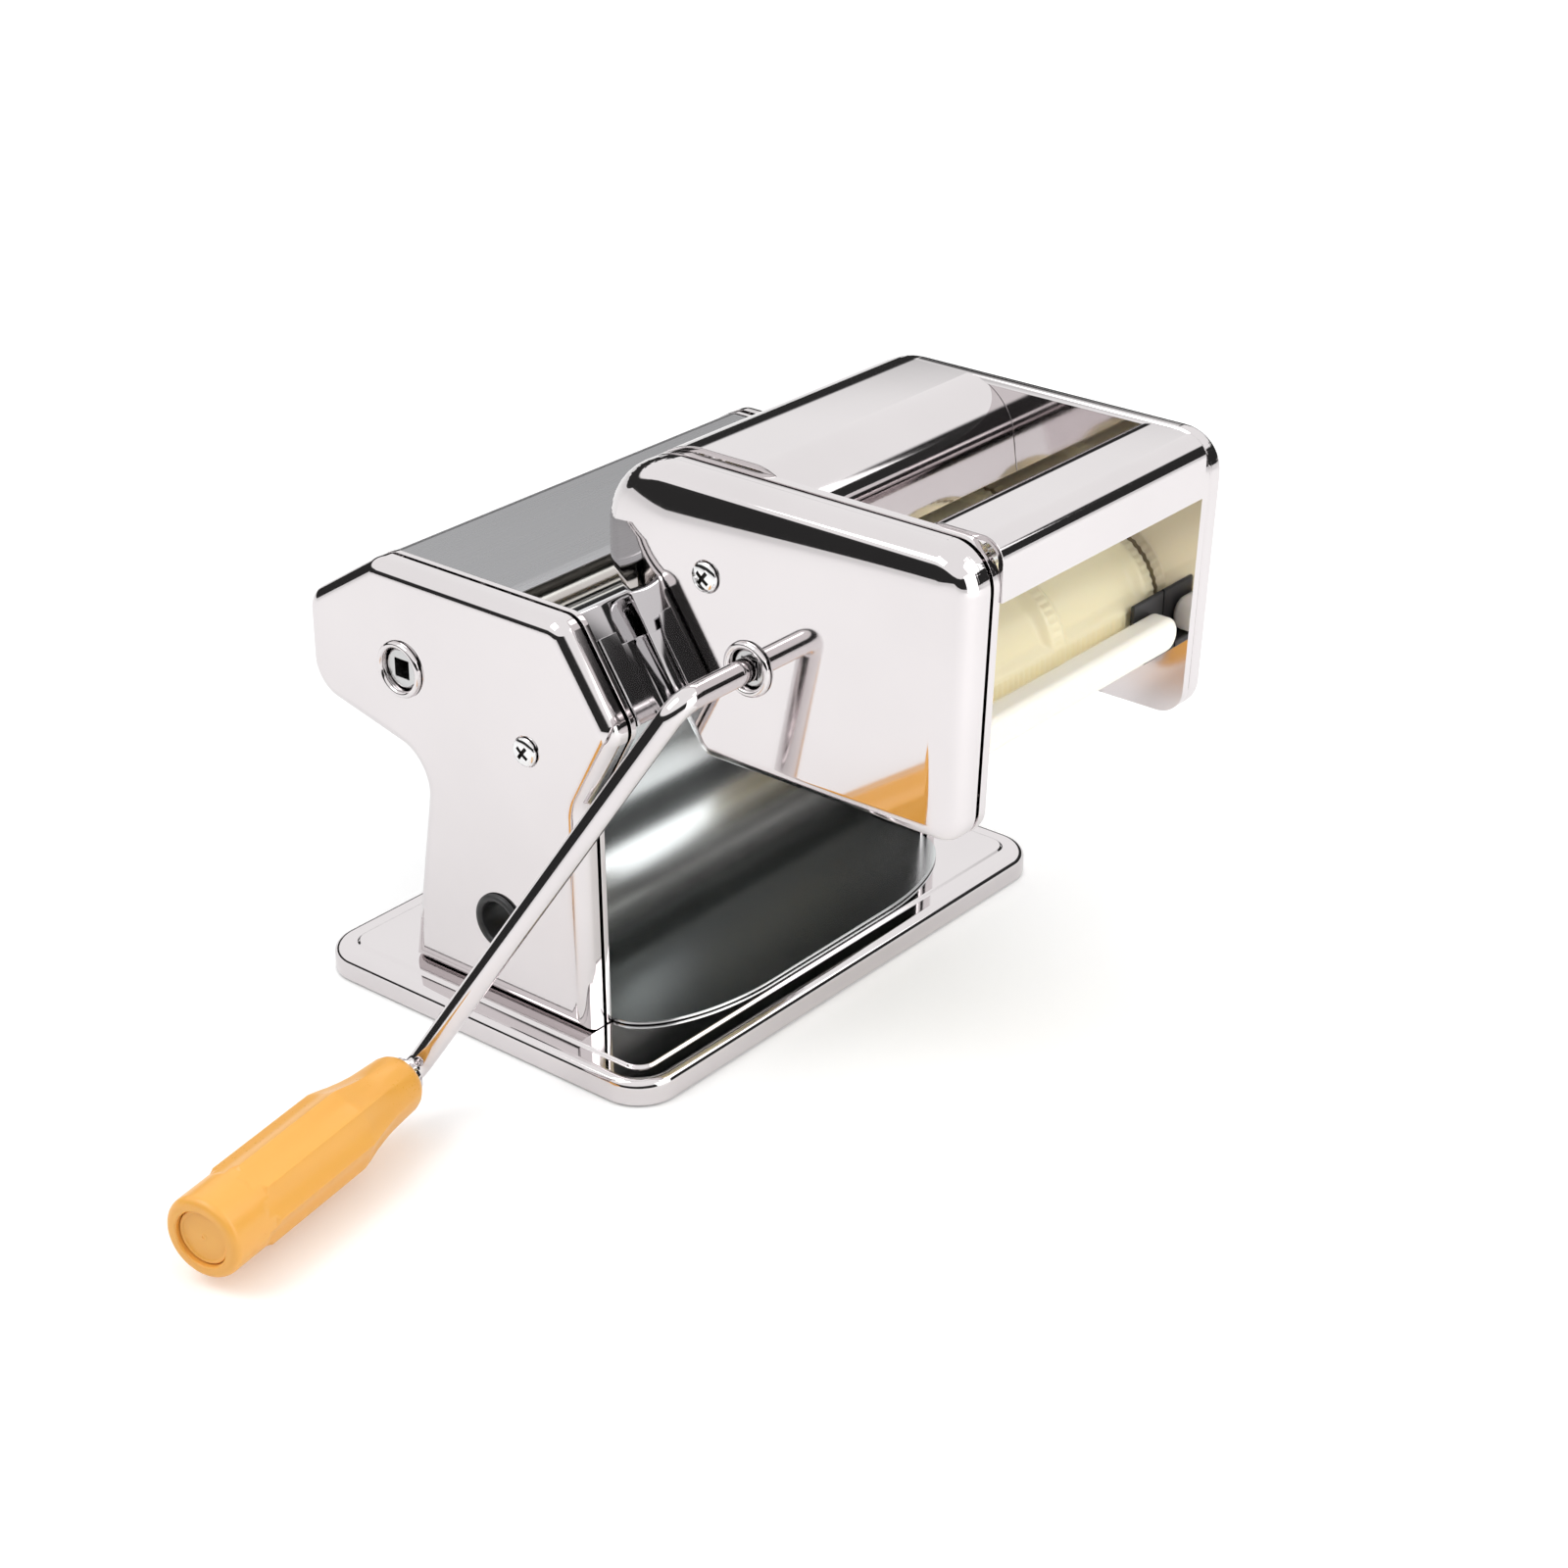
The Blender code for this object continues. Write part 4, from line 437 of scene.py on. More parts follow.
for side, name in ((-1, "near"), (1, "far")):
    plate_bm = slab(casing_outline, side * plate_in, side * plate_out)
    for row in lug_rows:
        block(plate_bm, (side * plate_in, row - lug_half, lug_foot),
              (side * plate_out, row + lug_half, bed_top + spare))
        block(plate_bm, (side * (plate_in + fit_gap), row - lug_half + lug_draft, lug_foot),
              (side * lug_toe, row + lug_half - lug_draft, lug_foot + lug_wall))
    plate = shape(name + "_plate", plate_bm, plate_steel)
    holes = bmesh.new()
    through = side * (plate_in - spare), side * (plate_out + spare)
    disc(holes, roller_axis, bush_hole, *through)
    disc(holes, casing_screw, screw_hole, *through, hole_sides)
    for rod in ("back_tie_rod", "low_tie_rod"):
        disc(holes, centre_of(rod), rod_hole, *through, hole_sides)
    block(holes, (through[0], slide_front, roller_axis[1] - slide_half),
          (through[1], slide_back, roller_axis[1] + slide_half))
    if name == "near":
        disc(holes, crank_axis, hub_hole, *through)
        disc(holes, clamp_axis, clamp_hole, *through)
    cut(plate, holes)
    soften(plate, 0.3)
    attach(plate, "machine")
    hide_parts(name + "_frame_plate")


# Tie rods: turned steel spacers between the frame plates and between the ravioli head's
# plates. Two of each three have riveted ends, the third takes the caps' screws.
def turned(profile, centre=(0, 0), steps=64, closed=False, carve=None):
    """Spins (x, radius) points round an axis along X through (y, z). Where carve is given, it
    tells each point's new radius from its x, its angle and its radius."""
    bm = bmesh.new()
    points = [bm.verts.new((x, radius, 0)) for x, radius in profile]
    pairs = list(zip(points, points[1:])) + ([(points[-1], points[0])] if closed else [])
    edges = [bm.edges.new(pair) for pair in pairs]
    bmesh.ops.spin(bm, geom=points + edges, axis=(1, 0, 0), cent=(0, 0, 0), angle=2 * math.pi,
                   steps=steps, use_merge=True, use_duplicate=False)
    bmesh.ops.remove_doubles(bm, verts=bm.verts, dist=0.001)
    bmesh.ops.recalc_face_normals(bm, faces=bm.faces)
    if carve:
        for vert in bm.verts:
            radius = math.hypot(vert.co.y, vert.co.z)
            if radius:
                vert.co.yz *= carve(vert.co.x, math.atan2(vert.co.z, vert.co.y), radius) / radius
    bmesh.ops.translate(bm, verts=bm.verts, vec=(0, *centre))
    return bm


def turned_steel(name, light=(0.80, 0.80, 0.79), dark=(0.66, 0.66, 0.64), roughness=0.12):
    """Ground and polished bar: fine rings round it, and bands of slightly unlike shine along it."""
    material, shader, place = new_finish(name, roughness, 1.0)
    rings = place.stretch(2600, 30, 30).noise(1.0, 2.0)
    bands = place.stretch(60, 8, 8).noise(1.0, 2.0)
    (rings * 0.4 + bands * 0.6).tint(dark, light).feed(shader, "Base Color")
    (roughness + rings * 0.08 + bands * 0.05).feed(shader, "Roughness")
    rings.relief(0.002).feed(shader, "Normal")
    return material


rod_steel = turned_steel("rod_steel", roughness=0.2)
tenon = 2.5
for body, rod_half, rod_radius, names in (
        ("machine", 78.7, 3.5, ("screw_tie_rod", "back_tie_rod", "low_tie_rod")),
        ("ravioli_head", 50.3, 3.0, ("head_screw_rod", "head_low_rod", "head_front_rod"))):
    for name in names:
        half = [(rod_half, rod_radius)]
        if name != names[0]:
            half += [(rod_half, tenon), (box_of(name)[1].x, tenon)]
        half.append((half[-1][0], 0))
        profile = [(-x, radius) for x, radius in reversed(half)] + half
        rod = shape(name + "_turned", turned(profile, centre_of(name), 32), rod_steel)
        soften(rod, 0.3)
        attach(rod, body)
        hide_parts(name)


# Smooth rollers: ground steel rollers with turned journals, one in bushes and one in the
# sliding blocks. Their tops show as polished strips in front of the hood.
roller_steel = turned_steel("roller_steel", (0.86, 0.85, 0.82), (0.62, 0.60, 0.55), 0.07)
roller_half, journal, shoulder = 76.0, 4.5, 0.8
for name in ("rear_roller", "front_roller"):
    low, high = box_of(name)
    radius = (high.z - low.z) / 2
    profile = [(low.x, 0), (low.x, journal), (-roller_half, journal), (-roller_half, radius - shoulder),
               (-roller_half + shoulder, radius), (roller_half - shoulder, radius),
               (roller_half, radius - shoulder), (roller_half, journal), (high.x, journal), (high.x, 0)]
    roller = shape(name + "_ground", turned(profile, centre_of(name), 96), roller_steel)
    soften(roller, 0.25)
    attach(roller, name)
    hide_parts(name)


# Inner works: roller gears, sliding bearing blocks and the cam that moves them, all machined
# steel with an oily film. They keep their solids, because only slits show them.
def machined_steel():
    material, shader, place = new_finish("machined_steel", 0.38, 1.0)
    grain = place.stretch(300, 1400, 300).noise(1.0)
    oil = place.noise(60.0)
    grain.tint((0.34, 0.34, 0.35), (0.50, 0.50, 0.51)).feed(shader, "Base Color")
    (0.26 + grain * 0.12 + oil * 0.12).feed(shader, "Roughness")
    grain.relief(0.01).feed(shader, "Normal")
    return material


def refinish(nodes, finish):
    """Gives CAD nodes another finish."""
    for node in nodes:
        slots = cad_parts[node].data.materials
        slots.clear()
        slots.append(finish)


refinish(("rear_roller_gear", "front_roller_gear", "near_bearing_block", "far_bearing_block", "dial_cam"),
         machined_steel())


# Crank gear: its long hub runs through the near plate, and its square socket takes the
# crank. It is cut from steel, and its polished mouth shows inside the chrome ring.
# The hub steel is set darker than the other bright steel. This is partly its plainer cut finish and partly
# painted shade for the mouth sunk inside the chrome ring.
hub_steel_and_painted_shade = turned_steel("hub_steel_and_painted_shade", (0.66, 0.66, 0.66), (0.46, 0.46, 0.46), 0.16)
gear_low, gear_high = box_of("crank_gear")
teeth, tooth_root, tooth_tip, tooth_share, tooth_sides = 16, 12.37, 15.89, 0.22, 8
gear_x0, gear_x1, hub_radius, hub_edge = -87.6, -83.1, 6.6, 0.6
socket_half, socket_depth = 3.0, 12.5


def toothed(x, angle, radius):
    """The gear's radius: its rim dips to the root between the teeth."""
    if radius < tooth_root:
        return radius
    off_tooth = abs((angle * teeth / (2 * math.pi)) % 1 - 0.5)
    return tooth_tip if off_tooth < tooth_share else tooth_root


def square_socket(hub, mouth, axis):
    """Cuts the crank's square socket into a hub."""
    square = bmesh.new()
    block(square, (mouth - spare, axis[0] - socket_half, axis[1] - socket_half),
          (mouth + socket_depth, axis[0] + socket_half, axis[1] + socket_half))
    cut(hub, square)


profile = [(gear_low.x, 0), (gear_low.x, hub_radius - hub_edge), (gear_low.x + hub_edge, hub_radius),
           (gear_x0, hub_radius), (gear_x0, tooth_tip), (gear_x1, tooth_tip), (gear_x1, hub_radius),
           (gear_high.x, hub_radius), (gear_high.x, 0)]
gear_bm = turned(profile, crank_axis, teeth * tooth_sides, carve=toothed)
crank_gear = shape("crank_gear_cut", gear_bm, hub_steel_and_painted_shade)
square_socket(crank_gear, gear_low.x, crank_axis)
soften(crank_gear, 0.2)
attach(crank_gear, "crank_gear")
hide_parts("crank_gear")


# Roller bushes: cream nylon sleeves pressed into the frame plates, where the rear roller
# turns. The ravioli head's gears and stripper are moulded from the same nylon.
def cream_nylon(name, light=(0.93, 0.87, 0.70), dark=(0.86, 0.78, 0.58), roughness=0.34):
    """Moulded nylon: soft depth, faint flow marks and a fine moulded grain."""
    material, shader, place = new_finish(name, roughness, 0.0)
    shader.inputs["Subsurface Weight"].default_value = 0.25
    shader.inputs["Subsurface Radius"].default_value = (1.0, 0.8, 0.5)
    shader.inputs["Subsurface Scale"].default_value = 2 * MM
    flow = place.stretch(14, 40, 40).noise(1.0)
    grain = place.noise(1500.0, 2.0)
    flow.tint(dark, light).feed(shader, "Base Color")
    (roughness - 0.06 + flow * 0.1 + grain * 0.06).feed(shader, "Roughness")
    (grain * 0.006 + flow * 0.02).relief().feed(shader, "Normal")
    return material


nylon = cream_nylon("cream_nylon")
refinish(("drive_gear", "driven_gear", "stripper_frame"), nylon)
bush_bore = 4.9
for name in ("near_roller_bush", "far_roller_bush"):
    low, high = box_of(name)
    outer = (high.z - low.z) / 2
    profile = [(low.x, bush_bore), (low.x, outer), (high.x, outer), (high.x, bush_bore)]
    bush = shape(name + "_moulded", turned(profile, centre_of(name), 48, closed=True), nylon)
    soften(bush, 0.2)
    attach(bush, "machine")
    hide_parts(name)


# Sheets between the plates: the roller hood is satin sheet, the apron and the front panel
# are polished. Each is one strip, folded on a brake and trapped between the plates.
def folded(path, half_x, inside, steps=14):
    """A strip across the machine, folded along (y, z, bend radius) points."""
    bm = bmesh.new()
    points = [bm.verts.new((-half_x, y, z)) for y, z, radius in path]
    edges = [bm.edges.new(pair) for pair in zip(points, points[1:])]
    grown = bmesh.ops.extrude_edge_only(bm, edges=edges)["geom"]
    bmesh.ops.translate(bm, verts=new_points(grown), vec=(2 * half_x, 0, 0))
    for point, (y, z, radius) in zip(points, path):
        if radius:
            fold = next(edge for edge in point.link_edges if edge.other_vert(point).co.x > 0)
            bmesh.ops.recalc_face_normals(bm, faces=bm.faces)
            reach = radius * math.tan(fold.calc_face_angle() / 2)
            bmesh.ops.bevel(bm, geom=[fold], offset=reach, offset_type="OFFSET", segments=steps,
                            profile=0.5, affect="EDGES", material=-1)
    bmesh.ops.recalc_face_normals(bm, faces=bm.faces)
    start = Vector((0, *path[0][:2]))
    strip = min(bm.faces, key=lambda face: (face.calc_center_median() - start).length)
    if strip.normal.dot(Vector((0, *inside)) - strip.calc_center_median()) > 0:
        bmesh.ops.reverse_faces(bm, faces=bm.faces)
    return bm


def arc(centre, reach, steps, sweep=math.pi / 2):
    """Points on an oval round a centre, from its first axis towards its second."""
    turns = [sweep * step / steps for step in range(steps + 1)]
    return [(centre[0] + reach[0] * math.cos(turn), centre[1] + reach[1] * math.sin(turn)) for turn in turns]


def satin_steel():
    """Satin sheet: long brushed lines across the machine over a soft shine."""
    material, shader, place = new_finish("satin_steel", 0.3, 1.0)
    brush = place.stretch(12, 1600, 1600).noise(1.0, 4.0)
    cloud = place.stretch(4, 20, 20).noise(1.0)
    (brush * 0.5 + cloud * 0.5).tint((0.33, 0.33, 0.34), (0.48, 0.48, 0.49)).feed(shader, "Base Color")
    (0.18 + brush * 0.16 + cloud * 0.06).feed(shader, "Roughness")
    brush.relief(0.012).feed(shader, "Normal")
    return material


hood_satin = satin_steel()
apron_steel = polished_steel("apron_steel", (0.74, 0.77, 0.77), (0.64, 0.67, 0.67), blur=0.17)
panel_steel = polished_steel("panel_steel", (0.74, 0.74, 0.75), (0.66, 0.66, 0.67))
sheet_wall, sheet_half = 1.0, 78.7
nip = (-4.0, roller_axis[1])
apron_front, bow_start, bow_middle, bow_steps = -60.25, -37.0, 29.9, 24
trim_side, trim_front, trim_low, trim_height = 83.0, apron_front - 4.0, bed_top - 2.0, 5.0


def bowed_trim():
    """What is cut off the apron's two front corners to leave a bow."""
    bow = arc((bow_middle, bow_start), (sheet_half - bow_middle, apron_front - bow_start), bow_steps)
    corner = [(trim_side, bow_start + 2 * spare)] + bow
    corner += [(bow_middle - spare, trim_front), (trim_side, trim_front)]
    trim = bmesh.new()
    for side in (-1, 1):
        face = trim.faces.new([trim.verts.new((side * x, y, trim_low)) for x, y in corner])
        draw_out(trim, [face], (0, 0, trim_height))
    return trim


sheets = (
    ("roller_hood", [(-3.0, 143.5, 0), (-1.0, 145.1, 1.5), (47.0, 145.1, 7), (76.3, 126.0, 7),
                     (76.3, 96.5, 11), (34.5, 86.5, 0)], roller_axis, hood_satin, "satin_steel"),
    ("apron", [(22.0, 103.5, 0), (22.0, bed_top, 44), (apron_front, bed_top, 0)], nip, apron_steel,
     "polished_steel"),
    ("front_panel", [(-23.0, 143.7, 0), (-28.0, 144.9, 1.6), (-48.6, 114.3, 0)], nip, panel_steel,
     "polished_steel"))
for name, path, inside, finish, slot_name in sheets:
    sheet = shape(name + "_sheet", folded(path, sheet_half, inside), finish)
    thicken(sheet, sheet_wall)
    if name == "apron":
        cut(sheet, bowed_trim())
    soften(sheet, 0.2)
    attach(sheet, "machine")
    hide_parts(name)


# Scrapers: thin satin blades under the smooth rollers, trapped in the plates.
# They keep the rollers clean and stay inside the machine.
refinish(("rear_scraper", "front_scraper"), hood_satin)


# Guide rails: folded from polished sheet and spot-welded to the incline on each side.
# A slide-on head's tabs drop in under their lips, down to the turned-in stops.
lean = math.radians(34)
incline_top = Vector((0, -30.5, casing_top))
down = Vector((0, -math.sin(lean), -math.cos(lean)))
out = Vector((0, -math.cos(lean), math.sin(lean)))


def on_incline(x, along, height):
    """A point by its distance down the incline and out from it."""
    return incline_top + Vector((x, 0, 0)) + down * along + out * height


def incline_bar(bm, section, start, end):
    """Adds a bar down the incline from an (x, distance out) section."""
    face = bm.faces.new([bm.verts.new(on_incline(x, start, height)) for x, height in section])
    draw_out(bm, [face], down * (end - start))


rail_steel = polished_steel("rail_steel", (0.80, 0.80, 0.81), (0.70, 0.70, 0.71), 0.01)
rail_out, rail_web, rail_lip = 78.7, 77.5, 71.5
rail_low, rail_under, rail_top = -2.1, -0.2, 0.8
rail_start, rail_end, rail_stop = 9.0, 36.5, 1.4
stop_inset, stop_lift, stop_top = 0.1, 0.05, (rail_under + rail_top) / 2
section = [(rail_out, rail_low), (rail_out, rail_top), (rail_lip, rail_top), (rail_lip, rail_under),
           (rail_web, rail_under), (rail_web, rail_low)]
stop = [(rail_out - stop_inset, rail_low + stop_lift), (rail_out - stop_inset, stop_top),
        (rail_lip, stop_top), (rail_lip, rail_low + stop_lift)]
for side, name in ((-1, "near_guide_rail"), (1, "far_guide_rail")):
    rail_bm = bmesh.new()
    incline_bar(rail_bm, [(side * x, height) for x, height in section], rail_start, rail_end)
    incline_bar(rail_bm, [(side * x, height) for x, height in stop], rail_end - rail_stop,
                rail_end - stop_lift)
    rail = shape(name + "_folded", rail_bm, rail_steel)
    soften(rail, 0.15)
    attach(rail, "machine")
    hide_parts(name)


# Side casings: deep-drawn stainless caps with a big round all along the edge, polished like
# a mirror. Each closes the gears in behind it and is held by one cross-head screw.
cap_fillet, cap_gap, cap_wall, cap_steps = 5.5, 0.7, 1.2, 10
dish_radius, dish_depth, hole_reach = 5.0, 0.4, 3.0


def cap(name, outline, rim, face, holes, screw, finish):
    """A drawn cap, open towards the plate behind it, with holes and a dish for its screw."""
    side = math.copysign(1, face)
    bm = rounded_face(outline, lambda y, z: (face, y, z))
    press(bm, Vector((rim - face, 0, 0)), cap_fillet, cap_steps)
    made = shape(name, bm, finish)
    thicken(made, cap_wall)
    dish = bmesh.new()
    disc(dish, screw, dish_radius + dish_depth, face + side * dish_depth, face - side * dish_depth,
         last_radius=dish_radius - dish_depth)
    cut(made, dish)
    tool = bmesh.new()
    for centre, radius in [(screw, screw_hole)] + holes:
        disc(tool, centre, radius, face - hole_reach, face + hole_reach)
    cut(made, tool)
    soften(made, 0.15)
    return made


casing_steel = polished_steel("casing_steel")
casing_face, casing_rim = box_of("far_casing")[1].x, box_of("far_casing")[0].x
dial_axis, dial_bore, ring_hole = centre_of("front_roller"), 4.4, 8.4
near_holes, far_holes = [(crank_axis, ring_hole), (clamp_axis, clamp_hole)], [(dial_axis, dial_bore)]
for side, name, holes in ((-1, "near_casing", near_holes), (1, "far_casing", far_holes)):
    casing = cap(name + "_drawn", casing_outline, side * (casing_rim + cap_gap), side * casing_face,
                 holes, casing_screw, casing_steel)
    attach(casing, "machine")
    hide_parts(name)


# Casing and head screws: chromed oval-head screws with a cross recess, driven through the
# caps into the screw rods.
oval_edge, oval_rise, oval_steps, shank = 0.5, 1.3, 6, 1.9
recess_share, recess_half, recess_depth, recess_turn = 0.55, 0.6, 1.4, math.radians(38)


def cross_screw(name, finish, shade):
    """An oval head with a cross recess, and its shank, along X. The recess's walls take the shade finish,
    which is near-black as painted shade for the depth of the recess.
    """
    low, high = box_of(name)
    side = 1 if high.x > 0 else -1
    tip, top = (low.x, high.x) if side > 0 else (high.x, low.x)
    radius = (high.z - low.z) / 2
    seat = top - side * (oval_edge + oval_rise)
    profile = arc((seat + side * oval_edge, 0), (side * oval_rise, radius), oval_steps)
    profile += [(seat, radius), (seat, shank), (tip, shank), (tip, 0)]
    screw = shape(name + "_oval", turned(profile, centre_of(name), 48), finish)
    arm = radius * recess_share
    tilt = Matrix.Translation((0, *centre_of(name))) @ Matrix.Rotation(recess_turn, 4, "X")
    for wide, tall in ((arm, recess_half), (recess_half, arm)):
        slit = bmesh.new()
        block(slit, (top - side * recess_depth, -wide, -tall), (top + side * spare, wide, tall))
        bmesh.ops.transform(slit, matrix=tilt, verts=slit.verts)
        cut(screw, slit, inside=shade)
    soften(screw, 0.12)
    return screw


screw_chrome = polished_steel("screw_chrome", (0.88, 0.88, 0.88), (0.78, 0.78, 0.78), 0.0)
# The recess finish is painted shade: near-black, so that the cross reads as dark as a deep recess in shadow.
recess_painted_shade, shade_shader, shade_place = new_finish("screw_recess_painted_shade", 0.6, 0.6)
shade_place.noise(900.0).tint((0.02, 0.02, 0.02), (0.06, 0.055, 0.05)).feed(shade_shader, "Base Color")
for name, body in (("near_casing_screw", "machine"), ("far_casing_screw", "machine"),
                   ("head_near_screw", "ravioli_head"), ("head_far_screw", "ravioli_head")):
    screw = cross_screw(name, screw_chrome, recess_painted_shade)
    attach(screw, body)
    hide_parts(name)


# Socket rings: turned and chromed rings round the two crank sockets, pushed into the caps.
# The table clamp's socket below them is a black moulding of the same form.
def black_moulding():
    material, shader, place = new_finish("black_moulding", 0.4, 0.0)
    grain = place.noise(1100.0, 2.0)
    grain.tint((0.016, 0.016, 0.017), (0.03, 0.03, 0.031)).feed(shader, "Base Color")
    (0.3 + grain * 0.2).feed(shader, "Roughness")
    grain.relief(0.015).feed(shader, "Normal")
    return material


ring_chrome = polished_steel("ring_chrome", wave=0.0)
black_plastic = black_moulding()
cover_face, cover_rim = box_of("head_far_cover")[1].x, box_of("head_far_cover")[0].x
ring_steps = 8
rings = (("crank_hole_ring", "machine", 7.0, 8.1, casing_face, ring_chrome, "polished_steel"),
         ("head_socket_ring", "ravioli_head", 6.2, 7.2, cover_face, ring_chrome, "polished_steel"),
         ("clamp_socket", "machine", 6.8, 7.9, casing_face, black_plastic, "black_plastic"))
for name, body, inner, spigot, face, finish, slot_name in rings:
    low, high = box_of(name)
    outer, seat = (high.z - low.z) / 2, -(face + fit_gap)
    crown = arc(((outer + inner) / 2, seat), ((outer - inner) / 2, low.x - seat), ring_steps, math.pi)
    profile = [(x, radius) for radius, x in crown] + [(high.x, inner), (high.x, spigot), (seat, spigot)]
    ring = shape(name + "_turned", turned(profile, centre_of(name), closed=True), finish)
    soften(ring, 0.0)
    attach(ring, body)
    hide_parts(name)


# Thickness dial: a chromed plate on the far casing and a black moulded knob with finger
# ribs. Plain numbers round its face tell the seven settings.
dial_low, dial_high = box_of("dial_plate")
plate_radius = (dial_high.z - dial_low.z) / 2
profile = [(dial_low.x, dial_bore), (dial_low.x, plate_radius), (dial_high.x, plate_radius),
           (dial_high.x, dial_bore)]
dial_plate = shape("dial_plate_turned", turned(profile, dial_axis, closed=True), ring_chrome)
soften(dial_plate, 0.25)
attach(dial_plate, "machine")
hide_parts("dial_plate")

knob_low, knob_high = box_of("dial_knob")
knob_face, knob_radius, waist, knob_round = knob_high.x - 0.35, 15.0, 13.0, 1.4
dimple, dimple_floor, dimple_depth = 6.2, 5.2, 1.2
skirt_edge, skirt_slope, bore_end = 3.0, 1.5, 4.6
rib_count, rib_depth, rib_sides = 24, 0.7, 8


def ribbed(x, angle, radius):
    """The knob's radius, with grooves between the finger ribs along its waist."""
    groove = rib_depth * max(0.0, math.cos(rib_count * angle)) ** 2
    return radius - groove if waist - 0.6 < radius < waist + 0.1 else radius


profile = [(knob_high.x - dimple_depth, 0), (knob_high.x - dimple_depth, dimple_floor), (knob_face, dimple),
           (knob_face, waist - 1.6), (knob_face - knob_round, waist - 0.4),
           (knob_low.x + skirt_edge + skirt_slope, waist), (knob_low.x + skirt_edge, knob_radius),
           (knob_low.x, knob_radius), (knob_low.x, dial_bore), (knob_high.x - bore_end, dial_bore),
           (knob_high.x - bore_end, 0)]
knob_bm = turned(profile, dial_axis, rib_count * rib_sides, carve=ribbed)
knob = shape("dial_knob_moulded", knob_bm, black_plastic)
soften(knob, 0.0, keep=math.radians(50))
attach(knob, "dial_knob")
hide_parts("dial_knob")

number_paint, number_shader, number_place = new_finish("number_paint", 0.5, 0.0)
number_wear = number_place.noise(700.0)
number_wear.tint((0.80, 0.80, 0.78), (0.92, 0.92, 0.90)).feed(number_shader, "Base Color")
(0.4 + number_wear * 0.2).feed(number_shader, "Roughness")
dial_settings, setting_turn = 7, math.radians(25)
number_size, number_depth, number_reach = 3.4, 0.12, 9.0
facing = Matrix(((0, 0, 1, 0), (1, 0, 0, 0), (0, 1, 0, 0), (0, 0, 0, 1)))
spot = Matrix.Translation(Vector((knob_face, *dial_axis)) * MM)
rise = Matrix.Translation((0, 0, number_reach * MM))
for setting in range(dial_settings):
    letter = bpy.data.curves.new("number", "FONT")
    letter.body = str(setting + 1)
    letter.size = number_size * MM
    letter.extrude = number_depth * MM
    letter.align_x, letter.align_y = "CENTER", "CENTER"
    written = bpy.data.objects.new("number", letter)
    scene.collection.objects.link(written)
    number_mesh = bpy.data.meshes.new_from_object(written)
    bpy.data.objects.remove(written)
    turn = Matrix.Rotation(math.pi - setting * setting_turn, 4, "X")
    number_mesh.transform(spot @ turn @ rise @ facing)
    number_mesh.materials.clear()
    number_mesh.materials.append(number_paint)
    number = bpy.data.objects.new(f"dial_number_{setting + 1}", number_mesh)
    scene.collection.objects.link(number)
    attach(number, "dial_knob")


# Ravioli head plates: 3 mm polished plates that the head's shafts run in.
# The caps are screwed over them, and their edges show as a second bright line.
head_low, head_high = box_of("head_near_cover")
head_top, head_floor, head_rear, head_front = head_high.z, head_low.z, head_high.y, head_low.y
rear_corner, front_corner = 25.0, 13.0
head_outline = [(head_rear, head_top, rear_corner), (head_rear, 154.9, 13), (-59.82, head_floor, 7),
                (head_front + 3.5, head_floor, 9), (head_front, head_top, front_corner)]
head_in, head_out, drive_hole, shaft_hole = 50.6, 53.6, 6.2, 5.0
drive_axis, driven_axis = centre_of("drive_ravioli_roller"), centre_of("driven_ravioli_roller")
head_screw = centre_of("head_near_screw")
for side, name in ((-1, "head_near_plate"), (1, "head_far_plate")):
    plate = shape(name + "_cut", slab(head_outline, side * head_in, side * head_out), plate_steel)
    holes = bmesh.new()
    through = side * (head_in - spare), side * (head_out + spare)
    disc(holes, drive_axis, drive_hole if side < 0 else shaft_hole, *through)
    disc(holes, driven_axis, shaft_hole, *through)
    disc(holes, head_screw, screw_hole, *through, hole_sides)
    for rod in ("head_low_rod", "head_front_rod"):
        disc(holes, centre_of(rod), rod_hole, *through, hole_sides)
    cut(plate, holes)
    soften(plate, 0.3)
    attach(plate, "ravioli_head")
    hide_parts(name)


# Ravioli head covers: drawn and polished like the casings, with a crowned shoulder inside
# the edge that bends the reflections along the top.
crown_front, crown_rear, crown_slope, drive_ring_hole = 15.0, 25.0, 0.45, 7.5


def edge_distance(up, side, radius):
    """How far a point is inside a rounded corner, from its reach past the corner's centre."""
    level, upright = up.at_least(0.0), side.at_least(0.0)
    reach = up.maths("SQRT", level * level + upright * upright)
    return radius - reach - up.at_least(side).at_most(0.0)


def crowned_steel(name):
    """Polished steel whose flat face falls away towards the cover's edge."""
    material, shader, place = new_finish(name, 0.05, 1.0)
    haze = place.noise(22.0)
    haze.tint((0.70, 0.665, 0.67), (0.76, 0.725, 0.73)).feed(shader, "Base Color")
    (0.02 + haze * 0.05).feed(shader, "Roughness")
    along, above = place.part(1) / MM, place.part(2) / MM - head_top
    rear = edge_distance(above + rear_corner, along - head_rear + rear_corner, rear_corner)
    front = edge_distance(above + front_corner, head_front - along + front_corner, front_corner)
    width = along.step(head_front, head_rear, crown_front, crown_rear)
    span = width - cap_fillet
    share = ((width - rear.at_most(front)) / span).at_least(0.0)
    fall = share * share * span * (crown_slope / 2)
    (place.noise(16.0, 1.0) * 0.03 - fall).relief().feed(shader, "Normal")
    return material


cover_steel = crowned_steel("cover_steel")
near_holes = [(drive_axis, drive_ring_hole)]
for side, name, holes in ((-1, "head_near_cover", near_holes), (1, "head_far_cover", [])):
    cover = cap(name + "_drawn", head_outline, side * (cover_rim + cap_gap), side * cover_face, holes,
                head_screw, cover_steel)
    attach(cover, "ravioli_head")
    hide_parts(name)


